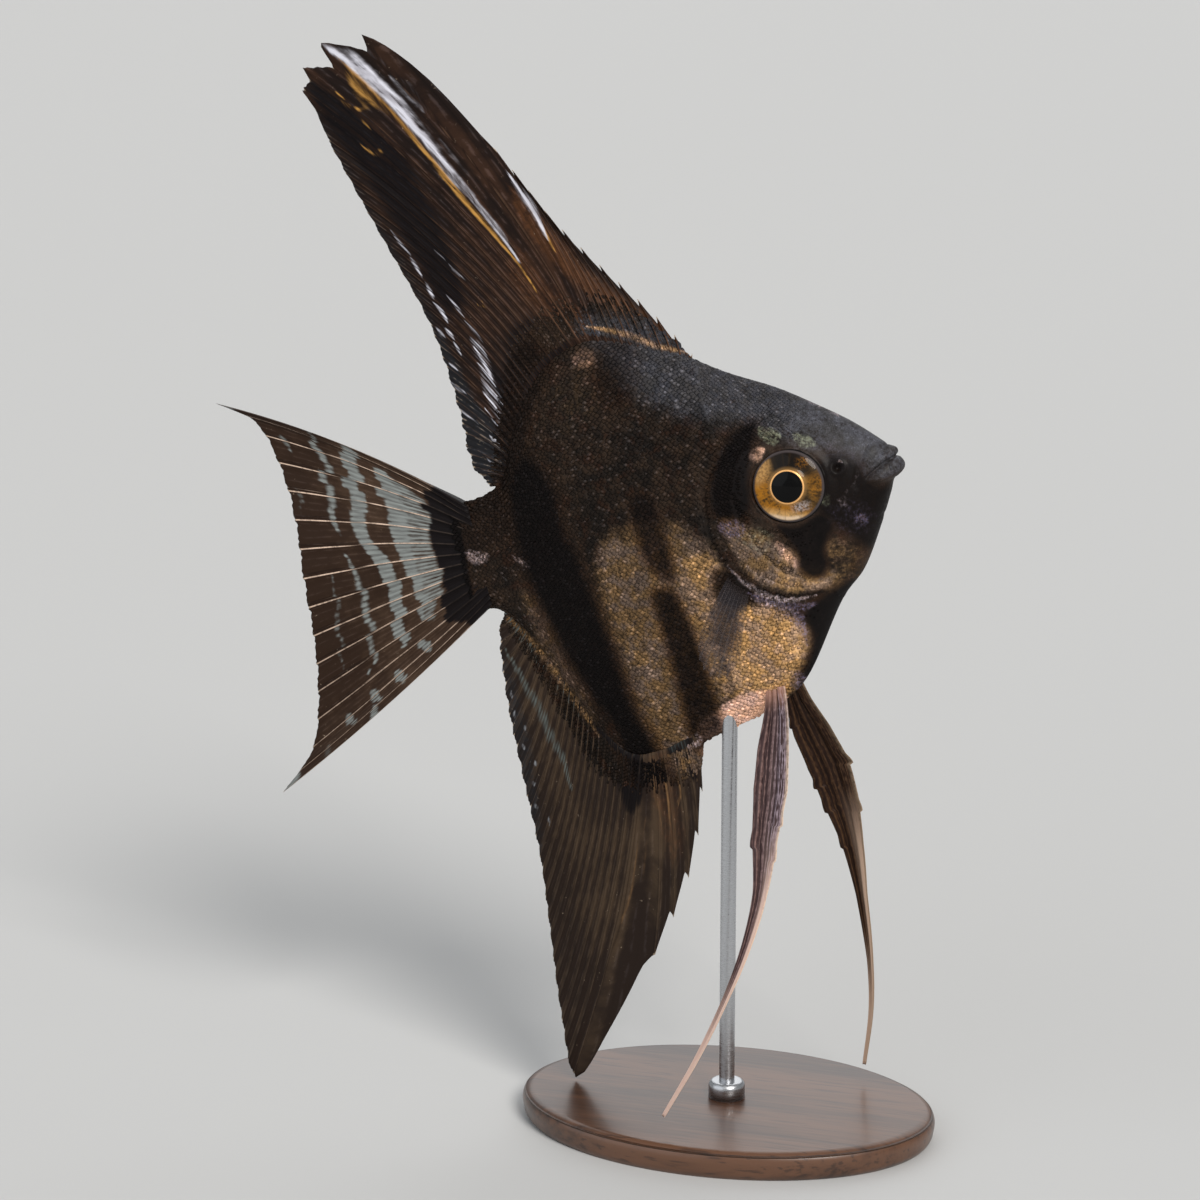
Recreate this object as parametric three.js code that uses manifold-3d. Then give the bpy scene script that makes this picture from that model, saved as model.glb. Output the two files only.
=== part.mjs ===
// Freshwater angelfish, life size, as a still display model on an oval stand.
//
// Units are millimetres and +Z is up. The origin is the centre of the base's underside.
// The fish is modelled level in its own frame and then tilted nose-up on its rod. In that
// frame +X points to the snout, +Z to the dorsal fin and +Y to the fish's left side, and
// x = 0 is halfway between the lip and the root of the tail fin. Outline points are [x, z].
import * as THREE from "three";
import { mergeVertices } from "three/addons/utils/BufferGeometryUtils.js";
import Module from "manifold-3d";

const wasm = await Module();
wasm.setup();

// ---- Driving dimensions ----------------------------------------------------------------

const gap = 0.3; // clearance between neighbouring pieces
const noseUpAngle = THREE.MathUtils.degToRad(15.4);
const fishSetBack = 8.3; // from the rod's axis to the middle of the fish
const fishHeight = 88.6; // from the floor to the middle of the fish

const baseHalfLength = 30;
const baseHalfDepth = 21;
const baseThickness = 4;
const baseBevel = 1;
const rodRadius = 1.1;
const rodDepthInFish = 8; // length of the rod that is hidden in the belly
const bellyHeight = 57; // floor to belly, where the rod goes in
const collarRadius = 2.6;
const collarHeight = 2.5;
const collarBevel = 0.6;
const roundSides = 16; // sides of the rod and the collar
const baseSides = 48;

const bodyStations = 30;
const sectionPoints = 22; // points round each cross-section
const snoutX = 32.7;
const tailRootX = -31.5;

const eyeCentre = new THREE.Vector3(18.4, 4.6, 0.2);
const eyeRadius = 5.5; // in the plane of the iris
const eyeHalfDepth = 2.6;
const eyeMeridians = 18;
const eyeParallels = 8;

const gillCoverInnerY = 3.4; // the gill cover is a plate outside this depth

// ---- Profiles of the body: [x, value] from the snout to the tail --------------------------

const backLine = profile([
  [32.7, 0.9], [31.2, 2.8], [27, 6.9], [19.4, 12.7], [12, 17], [3.8, 22.6], [-5, 26.8],
  [-11, 26], [-16.5, 22.3], [-20.6, 15.8], [-23.4, 9.8], [-26.6, 7.8], [-31.5, 7.4],
]);
const bellyLine = profile([
  [32.7, -0.3], [31.4, -2.6], [28.1, -8.2], [24.5, -13.4], [20.4, -17], [12.9, -26.7], [7.4, -30],
  [-2, -32.5], [-10.5, -34.6], [-15.3, -34], [-19, -30.2], [-23.5, -19], [-27, -11], [-29, -8.7],
  [-31.5, -8.2],
]);
const midLine = profile([
  [32.7, 0.4], [28, -1.4], [17, -1], [9, -1.5], [-5, -2.5], [-20, -1.5], [-31.5, -0.4],
]);
const halfWidth = profile([
  [32.7, 0.9], [31, 2.3], [28, 3.7], [24, 5], [17, 6.3], [9, 6.6], [0, 6], [-10, 4.7], [-20, 3.1],
  [-27, 2.1], [-31.5, 1.3],
]);
// 1 gives an elliptical section and larger values draw the back and belly out to an edge.
const sectionTaper = profile([[32.7, 1], [24, 1.25], [10, 1.6], [-20, 1.7], [-27, 1.4], [-31.5, 1.1]]);

// ---- Division lines of the head ------------------------------------------------------------

const gillRearEdge = [[11, 6], [7.9, 2.4], [7, -3.6], [7.9, -8.4], [11, -12.1], [15, -14.4], [20, -15.2]];
const gillFrontEdge = [[21.4, -13.6], [17.6, -12.7], [14.3, -9.6], [12.7, -5.4], [12.2, -0.8], [12.4, 4.8]];
const headOutline = [[8, 26], [10.2, 12], ...gillRearEdge, [21, -19], [40, -19], [40, 26]];
const tailOutline = [[-25, 14], [-28.8, -14], [-40, -14], [-40, 14]];
const upperLipOutline = [[34, 0.7], [31.4, 0.3], [28.4, -1], [28.7, 1.6], [30, 3.4], [31, 5], [34, 4]];
const lowerJawOutline = [
  [34, 0.4], [31.4, 0], [28.4, -1.3], [27.6, -3.2], [28.7, -5.2], [31, -7], [34, -5],
];
const upperLipPath = [[28.8, 3.1, -0.4], [31, 2.2, 0.9], [32.1, 0, 1.4]];
const lowerLipPath = [[28.6, 3.2, -1.9], [31.2, 2.1, -0.7], [32.4, 0, -0.3]];
const lipRadius = 0.7;
const lipSteps = 8;

// ---- Fins ------------------------------------------------------------------------------------
// base and margin run from the fin's front ray to its last ray, and fan pairs a share of the
// base with the share of the margin that its rays reach. bow is the bend of the first and last
// ray, as a share of their length. spineNotch is a depth, and rayNotch the depth of the notch
// between two soft rays for each square millimetre of their spacing.

const dorsalFin = {
  base: [[7.4, 18.4], [3.8, 20.6], [-5, 24.4], [-13, 22.4], [-18.3, 15.8], [-22.4, 8]],
  margin: [
    [8.2, 20.2], [4.4, 26.2], [-1.6, 34.6], [-7, 43], [-10.4, 50.4], [-15, 59.6], [-20.8, 68.6],
    [-26.6, 73.6], [-33.1, 74.2], [-36.3, 71.5], [-37.1, 68.3], [-35, 59.8], [-31.6, 46.4],
    [-28.2, 32.4], [-27.4, 20], [-27.4, 12], [-25.4, 8.6],
  ],
  fan: [
    [0, 0], [0.33, 0.28], [0.36, 0.459], [0.39, 0.507], [0.421, 0.537], [0.451, 0.561],
    [0.482, 0.608], [1, 1],
  ],
  bow: [0.04, 0.04],
  spines: 12,
  softRays: 22,
  spineShare: 0.36, // share of the rays' spread that the spines take
  spineNotch: 1.7,
  rayNotch: 0.045,
  steps: 4,
  ripple: 0.8,
};
const analFin = {
  base: [[-3.8, -30.8], [-10.5, -32.4], [-15, -31.8], [-18, -27.6], [-22, -18], [-26.6, -8.4]],
  margin: [
    [-4.9, -33.4], [-6.4, -40], [-10, -49], [-15.4, -57], [-21, -63.4], [-28.8, -71.6], [-36, -77.6],
    [-36, -68], [-34.4, -55], [-32.8, -44], [-31.9, -32], [-31, -20], [-29.5, -11], [-27.8, -8.4],
  ],
  fan: [[0, 0], [0.217, 0.255], [0.26, 0.442], [1, 1]],
  bow: [-0.03, -0.03],
  spines: 6,
  softRays: 24,
  spineShare: 0.26,
  spineNotch: 2,
  rayNotch: 0.045,
  steps: 4,
  ripple: -0.7,
};
const caudalFin = {
  base: [[-29, 6.4], [-28.6, 3], [-28.6, -3], [-29.2, -7.4]],
  margin: [
    [-63.2, 29.2], [-58.3, 25.2], [-56.4, 18], [-56, 10], [-56.8, 1.5], [-57.8, -6.6], [-60, -15],
    [-63.4, -23], [-69.4, -28.3],
  ],
  fan: [[0, 0], [0.5, 0.5], [1, 1]],
  bow: [0.035, -0.015],
  spines: 0,
  softRays: 16,
  spineShare: 0,
  spineNotch: 0,
  rayNotch: 0.045,
  steps: 4,
  ripple: 0.9,
};
const finRootThickness = 1.1;
const finMarginThickness = 0.5;
const membraneShare = 0.6; // thickness between two rays, as a share of the rays'
const notchPlace = 0.2; // share of the way from one ray to the next at which the notch lies
const columnSpacing = 6; // widest stretch of margin between two columns of a blade
const deepestNotch = 0.3; // as a share of the ray behind it
const rippleHalfWaves = 3; // half waves of the ripple from the first ray to the last

// Pelvic fins: [x, distance from the middle plane, z, width] from the root to the filament's tip.
const pelvicRight = [
  [8.3, 0.9, -26, 2.4], [7.8, 2.5, -30.2, 3.4], [6.6, 4.2, -35, 4.6], [5.4, 6, -40, 5],
  [3.8, 8, -45.4, 3.9], [1.6, 10.4, -53.1, 2.1], [-1.6, 12.4, -59.6, 1.4], [-5.9, 14, -66, 0.9],
  [-11.5, 15.2, -73, 0.7], [-18.3, 16, -80.3, 0.5],
];
const pelvicLeft = [
  [9.9, 0.9, -26, 2.4], [9.7, 2.6, -30.4, 3.8], [10.1, 4, -35, 5.6], [10.7, 5.6, -40.5, 6.2],
  [10.7, 7, -45.8, 5.4], [10.4, 8.4, -52.9, 3.2], [9.4, 9.8, -60.6, 1.7], [7.7, 11.2, -70.9, 0.9],
  [5.7, 12.2, -78.2, 0.7], [2.4, 13, -86.3, 0.5],
];
const pelvicSteps = 16;
const pelvicSides = 6;
const pelvicRootThickness = 1.2;
const pelvicTipThickness = 0.6;

// Pectoral fin of the left side: corner points [x, y, z] of its root and of its margin.
const pectoralRoot = [[7.4, 5.6, -9.6], [8.4, 5.6, -11.2], [9.4, 5.2, -12.6]];
const pectoralMargin = [
  [2, 8.8, -16.6], [1.4, 9.8, -19.8], [2.6, 10.4, -22.2], [4.8, 10.2, -22.8], [6.8, 9.2, -21],
];
const pectoralRays = 8;
const pectoralSteps = 2;
const pectoralNotch = 0.3;
const pectoralRayShare = 1.4; // thickness of a ray, as a share of the membrane's

// ---- Materials ---------------------------------------------------------------------------------

const darkSkin = () => new THREE.MeshStandardMaterial({ color: 0x3a2c24, roughness: 0.5, metalness: 0.1 });
const flankSkin = () => new THREE.MeshStandardMaterial({ color: 0x6a5540, roughness: 0.45, metalness: 0.15 });
const cheekSkin = () => new THREE.MeshStandardMaterial({ color: 0x7d6a4c, roughness: 0.4, metalness: 0.2 });
const lipSkin = () => new THREE.MeshStandardMaterial({ color: 0x4b4a52, roughness: 0.5, metalness: 0 });
const finSkin = () => new THREE.MeshStandardMaterial({ color: 0x4a342a, roughness: 0.55, metalness: 0 });
const clearFin = () => new THREE.MeshStandardMaterial({ color: 0x8d8f96, roughness: 0.4, metalness: 0 });
const eyeGloss = () => new THREE.MeshStandardMaterial({ color: 0xb98a3a, roughness: 0.1, metalness: 0.3 });
const darkWood = () => new THREE.MeshStandardMaterial({ color: 0x4c2f1d, roughness: 0.45, metalness: 0 });
const steel = () => new THREE.MeshStandardMaterial({ color: 0xb9bcc0, roughness: 0.3, metalness: 1 });

// ---- Helpers -----------------------------------------------------------------------------------

// Smooth function through [x, value] pairs that are sorted from large x to small x.
function profile(pairs) {
  const slopeAt = (i) => {
    const before = pairs[Math.max(i - 1, 0)];
    const after = pairs[Math.min(i + 1, pairs.length - 1)];
    return (after[1] - before[1]) / (after[0] - before[0]);
  };
  return (x) => {
    let i = 0;
    while (i < pairs.length - 2 && x < pairs[i + 1][0]) i += 1;
    const [x0, v0] = pairs[i];
    const [x1, v1] = pairs[i + 1];
    const span = x1 - x0;
    const t = THREE.MathUtils.clamp((x - x0) / span, 0, 1);
    const hermite = (1 + 2 * t) * (1 - t) ** 2 * v0 + t ** 2 * (3 - 2 * t) * v1;
    return hermite + span * (t * (1 - t) ** 2 * slopeAt(i) + t ** 2 * (t - 1) * slopeAt(i + 1));
  };
}

// Value at t of the straight steps between [t, value] pairs.
function interpolate(pairs, t) {
  const last = pairs.findIndex((pair) => pair[0] >= t);
  const i = Math.max(last, 1);
  const [t0, v0] = pairs[i - 1];
  const [t1, v1] = pairs[i];
  return v0 + ((v1 - v0) * (t - t0)) / (t1 - t0);
}

// Smooth curve in the middle plane through [x, z] points.
function planeCurve(points) {
  return spaceCurve(points.map(([x, z]) => [x, 0, z]));
}

// Smooth curve through [x, y, z] points.
function spaceCurve(points) {
  const knots = points.map(([x, y, z]) => new THREE.Vector3(x, y, z));
  return new THREE.CatmullRomCurve3(knots, false, "centripetal");
}

// Geometry from vertex positions and index triples.
function meshGeometry(positions, indices) {
  const geometry = new THREE.BufferGeometry();
  geometry.setAttribute("position", new THREE.Float32BufferAttribute(positions, 3));
  geometry.setIndex(indices);
  return geometry;
}

// The manifold solid of a closed geometry.
function solid(geometry) {
  const bare = geometry.clone();
  bare.deleteAttribute("normal");
  bare.deleteAttribute("uv");
  const merged = mergeVertices(bare, 1e-4);
  return new wasm.Manifold(new wasm.Mesh({
    numProp: 3,
    vertProperties: new Float32Array(merged.attributes.position.array),
    triVerts: new Uint32Array(merged.index.array),
  }));
}

// The three.js geometry of a manifold solid.
function geometryOf(shape) {
  const mesh = shape.getMesh();
  return meshGeometry(Array.from(mesh.vertProperties), Array.from(mesh.triVerts));
}

// Closed skin over rows of points that run round it, with a fan that closes each end.
function loft(rows) {
  const positions = rows.flat().flatMap((p) => [p.x, p.y, p.z]);
  const count = rows[0].length;
  const indices = [];
  for (let row = 0; row < rows.length - 1; row += 1) {
    for (let i = 0; i < count; i += 1) {
      const a = row * count + i;
      const b = row * count + ((i + 1) % count);
      indices.push(a, a + count, b, b, a + count, b + count);
    }
  }
  [rows[0], rows[rows.length - 1]].forEach((ring, end) => {
    const centre = new THREE.Vector3();
    ring.forEach((p) => centre.addScaledVector(p, 1 / count));
    const hub = positions.length / 3;
    positions.push(centre.x, centre.y, centre.z);
    const first = end * (rows.length - 1) * count;
    for (let i = 0; i < count; i += 1) {
      const a = first + i;
      const b = first + ((i + 1) % count);
      indices.push(...(end === 0 ? [hub, a, b] : [hub, b, a]));
    }
  });
  return meshGeometry(positions, indices);
}

// Closed [x, z] outline moved outward by a distance.
function grown(outline, distance) {
  const area = THREE.ShapeUtils.area(outline.map(([x, z]) => new THREE.Vector2(x, z)));
  const side = Math.sign(area) * distance;
  return outline.map((point, i) => {
    const before = outline[(i + outline.length - 1) % outline.length];
    const after = outline[(i + 1) % outline.length];
    const inward = new THREE.Vector2(point[0] - before[0], point[1] - before[1]).normalize();
    const outward = new THREE.Vector2(after[0] - point[0], after[1] - point[1]).normalize();
    const along = inward.clone().add(outward).normalize();
    const stretch = side / Math.max(along.dot(outward), 0.5);
    return [point[0] + along.y * stretch, point[1] - along.x * stretch];
  });
}

// Prism over a closed [x, z] outline, between two distances from the middle plane.
function prism(outline, fromY, toY) {
  const shape = new THREE.Shape(outline.map(([x, z]) => new THREE.Vector2(x, z)));
  const geometry = new THREE.ExtrudeGeometry(shape, { depth: toY - fromY, bevelEnabled: false });
  geometry.rotateX(Math.PI / 2);
  geometry.translate(0, toY, 0);
  return solid(geometry);
}

// The largest of a solid's separate bodies, without the slivers that a cut leaves.
function largestBody(shape) {
  return shape.decompose().reduce((a, b) => (a.volume() > b.volume() ? a : b));
}

// Mirror image of a solid in the middle plane.
function mirrored(shape) {
  return shape.mirror([0, 1, 0]);
}

// ---- Body --------------------------------------------------------------------------------------

// Upright distance that gives a sloping outline a clearance square to itself.
function uprightClearance(outline, x, clearance) {
  const slope = outline(x + 0.5) - outline(x - 0.5);
  return clearance * Math.hypot(1, slope);
}

// Point of the body's surface at a station, with angle 0 at the left flank and 90° at the back.
function bodyPoint(x, angle, grow) {
  const rise = Math.sin(angle);
  const middle = midLine(x);
  const outline = rise > 0 ? backLine : bellyLine;
  const reach = Math.abs(outline(x) - middle) + uprightClearance(outline, x, grow);
  const side = Math.abs(Math.cos(angle)) ** sectionTaper(x) * halfWidth(x) + grow;
  return new THREE.Vector3(x, Math.sign(Math.cos(angle)) * side, middle + reach * rise);
}

// The whole body from lip to tail root, grown by a distance on every side.
function bodySolid(grow) {
  const middleX = (snoutX + tailRootX) / 2;
  const halfLength = (snoutX - tailRootX) / 2;
  const rows = [];
  for (let station = 0; station <= bodyStations; station += 1) {
    const along = Math.cos((station / bodyStations) * Math.PI);
    const x = middleX + halfLength * along;
    const ring = [];
    for (let i = 0; i < sectionPoints; i += 1) {
      const point = bodyPoint(x, ((i + 0.5) / sectionPoints) * 2 * Math.PI, grow);
      point.x += grow * along;
      ring.push(point);
    }
    rows.push(ring);
  }
  return solid(loft(rows));
}

// Flattened globe of one eye; side is 1 for the left eye and -1 for the right.
function eyeSolid(side, grow) {
  const geometry = new THREE.SphereGeometry(1, eyeMeridians, eyeParallels);
  geometry.scale(eyeRadius + grow, eyeHalfDepth + grow, eyeRadius + grow);
  geometry.translate(eyeCentre.x, side * eyeCentre.y, eyeCentre.z);
  return solid(geometry);
}

// Round lip that follows the mouth from one corner to the other.
function lipSolid(halfPath, grow) {
  const otherHalf = halfPath.slice(0, -1).reverse().map(([x, y, z]) => [x, -y, z]);
  const section = new THREE.Shape();
  section.absarc(0, 0, lipRadius + grow, 0, 2 * Math.PI);
  const extrudePath = spaceCurve([...halfPath, ...otherHalf]);
  return solid(new THREE.ExtrudeGeometry(section, { steps: lipSteps, extrudePath, curveSegments: 3 }));
}

// ---- Fins --------------------------------------------------------------------------------------

// Blade between two sheets of points: grid[column][row] holds { centre, half }, where half is
// the vector from the middle of the blade to its left face.
function bladeGeometry(grid) {
  const columns = grid.length;
  const rows = grid[0].length;
  const positions = [];
  [1, -1].forEach((side) => {
    grid.flat().forEach(({ centre, half }) => {
      positions.push(centre.x + side * half.x, centre.y + side * half.y, centre.z + side * half.z);
    });
  });
  const left = (column, row) => column * rows + row;
  const right = (column, row) => (columns + column) * rows + row;
  const indices = [];
  const quad = (a, b, c, d) => indices.push(a, b, c, a, c, d);
  for (let column = 0; column < columns - 1; column += 1) {
    for (let row = 0; row < rows - 1; row += 1) {
      quad(left(column, row), left(column + 1, row), left(column + 1, row + 1), left(column, row + 1));
      quad(right(column, row), right(column, row + 1), right(column + 1, row + 1), right(column + 1, row));
    }
    quad(left(column, 0), right(column, 0), right(column + 1, 0), left(column + 1, 0));
    const top = rows - 1;
    quad(left(column, top), left(column + 1, top), right(column + 1, top), right(column, top));
  }
  for (let row = 0; row < rows - 1; row += 1) {
    quad(left(0, row), left(0, row + 1), right(0, row + 1), right(0, row));
    const end = columns - 1;
    quad(right(end, row), right(end, row + 1), left(end, row + 1), left(end, row));
  }
  return meshGeometry(positions, indices);
}

// A geometry whose triangles face outward, whichever way round its grid was laid.
function facingOut(geometry) {
  const position = geometry.attributes.position;
  const corner = (n) => new THREE.Vector3().fromBufferAttribute(position, geometry.index.getX(n));
  let volume = 0;
  for (let n = 0; n < geometry.index.count; n += 3) {
    volume += corner(n).dot(corner(n + 1).cross(corner(n + 2)));
  }
  if (volume < 0) geometry.index.array.reverse();
  return geometry;
}

// Median fin: spines and soft rays spread over its base, with a notch in the margin between rays.
function medianFin(fin) {
  const base = planeCurve(fin.base);
  const margin = planeCurve(fin.margin);
  const rays = [];
  for (let i = 0; i < fin.spines; i += 1) {
    rays.push({ at: (i / fin.spines) * fin.spineShare, isSpine: true });
  }
  for (let i = 0; i < fin.softRays; i += 1) {
    const share = i / (fin.softRays - 1);
    rays.push({ at: fin.spineShare + share * (1 - fin.spineShare), isSpine: false });
  }
  const tipAt = (at) => margin.getPointAt(interpolate(fin.fan, at));
  const columns = rays.flatMap((ray, i) => {
    const column = { at: ray.at, notch: 0, thickness: 1 };
    const next = rays[i + 1];
    if (!next) return [column];
    const spacing = tipAt(ray.at).distanceTo(tipAt(next.at));
    const deepest = ray.isSpine ? fin.spineNotch : fin.rayNotch * spacing ** 2;
    const between = 1 + Math.floor(spacing / columnSpacing);
    const membrane = Array.from({ length: between }, (_, j) => {
      const rise = j / between;
      const place = notchPlace + (1 - notchPlace) * rise;
      const at = THREE.MathUtils.lerp(ray.at, next.at, place);
      return { at, notch: deepest * (1 - rise), thickness: membraneShare };
    });
    return [column, ...membrane];
  });
  const grid = columns.map(({ at, notch, thickness }) => {
    const root = base.getPointAt(at);
    const tip = tipAt(at);
    tip.lerp(root, Math.min(notch / root.distanceTo(tip), deepestNotch));
    const bend = new THREE.Vector3(tip.z - root.z, 0, root.x - tip.x);
    bend.multiplyScalar(THREE.MathUtils.lerp(...fin.bow, at));
    return Array.from({ length: fin.steps + 1 }, (_, row) => {
      const t = row / fin.steps;
      const centre = root.clone().lerp(tip, t).addScaledVector(bend, 4 * t * (1 - t));
      centre.y = fin.ripple * t * Math.sin(rippleHalfWaves * Math.PI * at);
      const half = (THREE.MathUtils.lerp(finRootThickness, finMarginThickness, t) * thickness) / 2;
      return { centre, half: new THREE.Vector3(0, Math.max(half, finMarginThickness / 2), 0) };
    });
  });
  return solid(facingOut(bladeGeometry(grid)));
}

// Pelvic fin: a narrow blade that draws out into a filament; side is 1 for the left fin.
function pelvicFin(path, side) {
  const spine = spaceCurve(path.map(([x, y, z]) => [x, side * y, z]));
  const widths = path.map((point, i) => [i / (path.length - 1), point[3]]);
  const rows = [];
  for (let step = 0; step <= pelvicSteps; step += 1) {
    const t = step / pelvicSteps;
    const centre = spine.getPoint(t);
    const along = spine.getTangent(t);
    const across = new THREE.Vector3(1, 0, 0).cross(along).cross(along).normalize();
    const thin = across.clone().cross(along).normalize();
    const halfWide = interpolate(widths, t) / 2;
    const halfThin = Math.min(THREE.MathUtils.lerp(pelvicRootThickness, pelvicTipThickness, t) / 2, halfWide);
    rows.push(Array.from({ length: pelvicSides }, (_, i) => {
      const angle = (i / pelvicSides) * 2 * Math.PI;
      const point = centre.clone().addScaledVector(across, halfWide * Math.cos(angle));
      return point.addScaledVector(thin, halfThin * Math.sin(angle));
    }));
  }
  return solid(facingOut(loft(rows)));
}

// Pectoral fin of the left side: a small fan that stands out from the flank.
function pectoralFin() {
  const root = spaceCurve(pectoralRoot);
  const margin = spaceCurve(pectoralMargin);
  const facing = new THREE.Vector3().subVectors(root.getPoint(1), root.getPoint(0));
  facing.cross(new THREE.Vector3().subVectors(margin.getPoint(0.5), root.getPoint(0.5))).normalize();
  const columns = 2 * (pectoralRays - 1);
  const grid = Array.from({ length: columns + 1 }, (_, column) => {
    const onRay = column % 2 === 0;
    const start = root.getPoint(column / columns);
    const end = margin.getPoint(column / columns);
    if (!onRay) end.lerp(start, pectoralNotch / end.distanceTo(start));
    return Array.from({ length: pectoralSteps + 1 }, (_, row) => ({
      centre: start.clone().lerp(end, row / pectoralSteps),
      half: facing.clone().multiplyScalar((finMarginThickness * (onRay ? pectoralRayShare : 1)) / 2),
    }));
  });
  return solid(facingOut(bladeGeometry(grid)));
}

// ---- Stand -------------------------------------------------------------------------------------

// Oval wooden base with a small bevel on its edges.
function baseGeometry() {
  const profilePoints = [
    [0, 0], [baseHalfLength - baseBevel / 2, 0], [baseHalfLength, baseBevel / 2],
    [baseHalfLength, baseThickness - baseBevel], [baseHalfLength - baseBevel, baseThickness],
    [0, baseThickness],
  ].map(([radius, height]) => new THREE.Vector2(radius, height));
  const geometry = new THREE.LatheGeometry(profilePoints, baseSides);
  geometry.rotateX(Math.PI / 2);
  geometry.scale(1, baseHalfDepth / baseHalfLength, 1);
  return geometry;
}

// Upright cylinder on the stand's axis between two heights.
function uprightGeometry(radius, fromZ, toZ) {
  const geometry = new THREE.CylinderGeometry(radius, radius, toZ - fromZ, roundSides);
  geometry.rotateX(Math.PI / 2);
  geometry.translate(0, 0, (fromZ + toZ) / 2);
  return geometry;
}

// Ring that seats the rod on the base.
function collarGeometry() {
  const inner = rodRadius + gap;
  const bottom = baseThickness + gap;
  const top = baseThickness + collarHeight;
  const profilePoints = [
    [inner, bottom], [collarRadius, bottom], [collarRadius, top - collarBevel],
    [collarRadius - collarBevel, top], [inner, top], [inner, bottom],
  ].map(([radius, height]) => new THREE.Vector2(radius, height));
  const geometry = new THREE.LatheGeometry(profilePoints, roundSides);
  geometry.rotateX(Math.PI / 2);
  return geometry;
}

// ---- Assembly ----------------------------------------------------------------------------------

const object = new THREE.Group();
const fish = new THREE.Group();
fish.position.set(-fishSetBack, 0, fishHeight);
fish.rotation.y = -noseUpAngle;
object.add(fish);

// Adds a geometry to a group as a named mesh.
function addMesh(group, name, geometry, material) {
  const mesh = new THREE.Mesh(geometry, material);
  mesh.name = name;
  group.add(mesh);
}

// The rod in the fish's own frame, to cut its socket in the belly.
function rodInFishFrame(grow) {
  const top = bellyHeight + rodDepthInFish;
  const geometry = uprightGeometry(rodRadius + grow, baseThickness, top + grow);
  fish.updateMatrix();
  geometry.applyMatrix4(fish.matrix.clone().invert());
  return solid(geometry);
}

const farSide = 20; // beyond the flank of any piece of the body
const body = bodySolid(0);
const bodyClearance = bodySolid(gap);
const headRegion = prism(headOutline, -farSide, farSide);
const headClearance = prism(grown(headOutline, gap), -farSide, farSide);
const tailRegion = prism(tailOutline, -farSide, farSide);
const tailClearance = prism(grown(tailOutline, gap), -farSide, farSide);
const gillOutline = [...gillRearEdge, ...gillFrontEdge];
const gillPlate = prism(gillOutline, gillCoverInnerY + gap, farSide);
const gillPocket = prism(grown(gillOutline, gap), gillCoverInnerY, farSide);

const upperLip = body.intersect(prism(upperLipOutline, -farSide, farSide)).add(lipSolid(upperLipPath, 0));
const lowerJaw = body.intersect(prism(lowerJawOutline, -farSide, farSide)).add(lipSolid(lowerLipPath, 0));
const mouthClearance = prism(grown(upperLipOutline, gap), -farSide, farSide)
  .add(prism(grown(lowerJawOutline, gap), -farSide, farSide))
  .add(lipSolid(upperLipPath, gap))
  .add(lipSolid(lowerLipPath, gap));

const head = body.intersect(headRegion)
  .subtract(gillPocket)
  .subtract(mirrored(gillPocket))
  .subtract(mouthClearance)
  .subtract(eyeSolid(1, gap))
  .subtract(eyeSolid(-1, gap));
const gillCover = body.intersect(headRegion).intersect(gillPlate);
const trunk = body.subtract(headClearance).subtract(tailClearance).subtract(rodInFishFrame(gap));
const tail = body.intersect(tailRegion);

addMesh(fish, "head", geometryOf(head), darkSkin());
addMesh(fish, "upper_lip", geometryOf(upperLip), lipSkin());
addMesh(fish, "lower_jaw", geometryOf(lowerJaw.subtract(lipSolid(upperLipPath, gap))), lipSkin());
addMesh(fish, "gill_cover_left", geometryOf(gillCover), cheekSkin());
addMesh(fish, "gill_cover_right", geometryOf(mirrored(gillCover)), cheekSkin());
addMesh(fish, "trunk", geometryOf(trunk), flankSkin());
addMesh(fish, "tail", geometryOf(tail), flankSkin());
addMesh(fish, "eye_left", geometryOf(eyeSolid(1, 0)), eyeGloss());
addMesh(fish, "eye_right", geometryOf(eyeSolid(-1, 0)), eyeGloss());

const fins = [
  ["dorsal_fin", medianFin(dorsalFin), finSkin()],
  ["anal_fin", medianFin(analFin), finSkin()],
  ["caudal_fin", medianFin(caudalFin), finSkin()],
  ["pelvic_fin_left", pelvicFin(pelvicLeft, 1), finSkin()],
  ["pelvic_fin_right", pelvicFin(pelvicRight, -1), finSkin()],
  ["pectoral_fin_left", pectoralFin(), clearFin()],
  ["pectoral_fin_right", mirrored(pectoralFin()), clearFin()],
];
fins.forEach(([name, fin, material]) => {
  addMesh(fish, name, geometryOf(largestBody(fin.subtract(bodyClearance))), material);
});

addMesh(object, "stand_base", baseGeometry(), darkWood());
addMesh(object, "stand_collar", collarGeometry(), steel());
const rod = uprightGeometry(rodRadius, baseThickness + gap, bellyHeight + rodDepthInFish);
addMesh(object, "stand_rod", rod, steel());

export default object;
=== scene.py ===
"""A life-size freshwater angelfish, as a still display model on a small oval stand.

Lengths are millimetres in the fish's own level frame unless a name or a comment says metres:
+X points to the snout, +Z to the dorsal fin and +Y to the fish's left side, and x = 0 is halfway
between the lip and the root of the tail fin. FishFrame tilts that frame nose-up and puts it in
the model's frame, in metres. Points of an outline are (x, z).
"""

import logging
import math
from dataclasses import dataclass, field
from enum import Enum
from typing import Any, Mapping, Sequence

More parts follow.
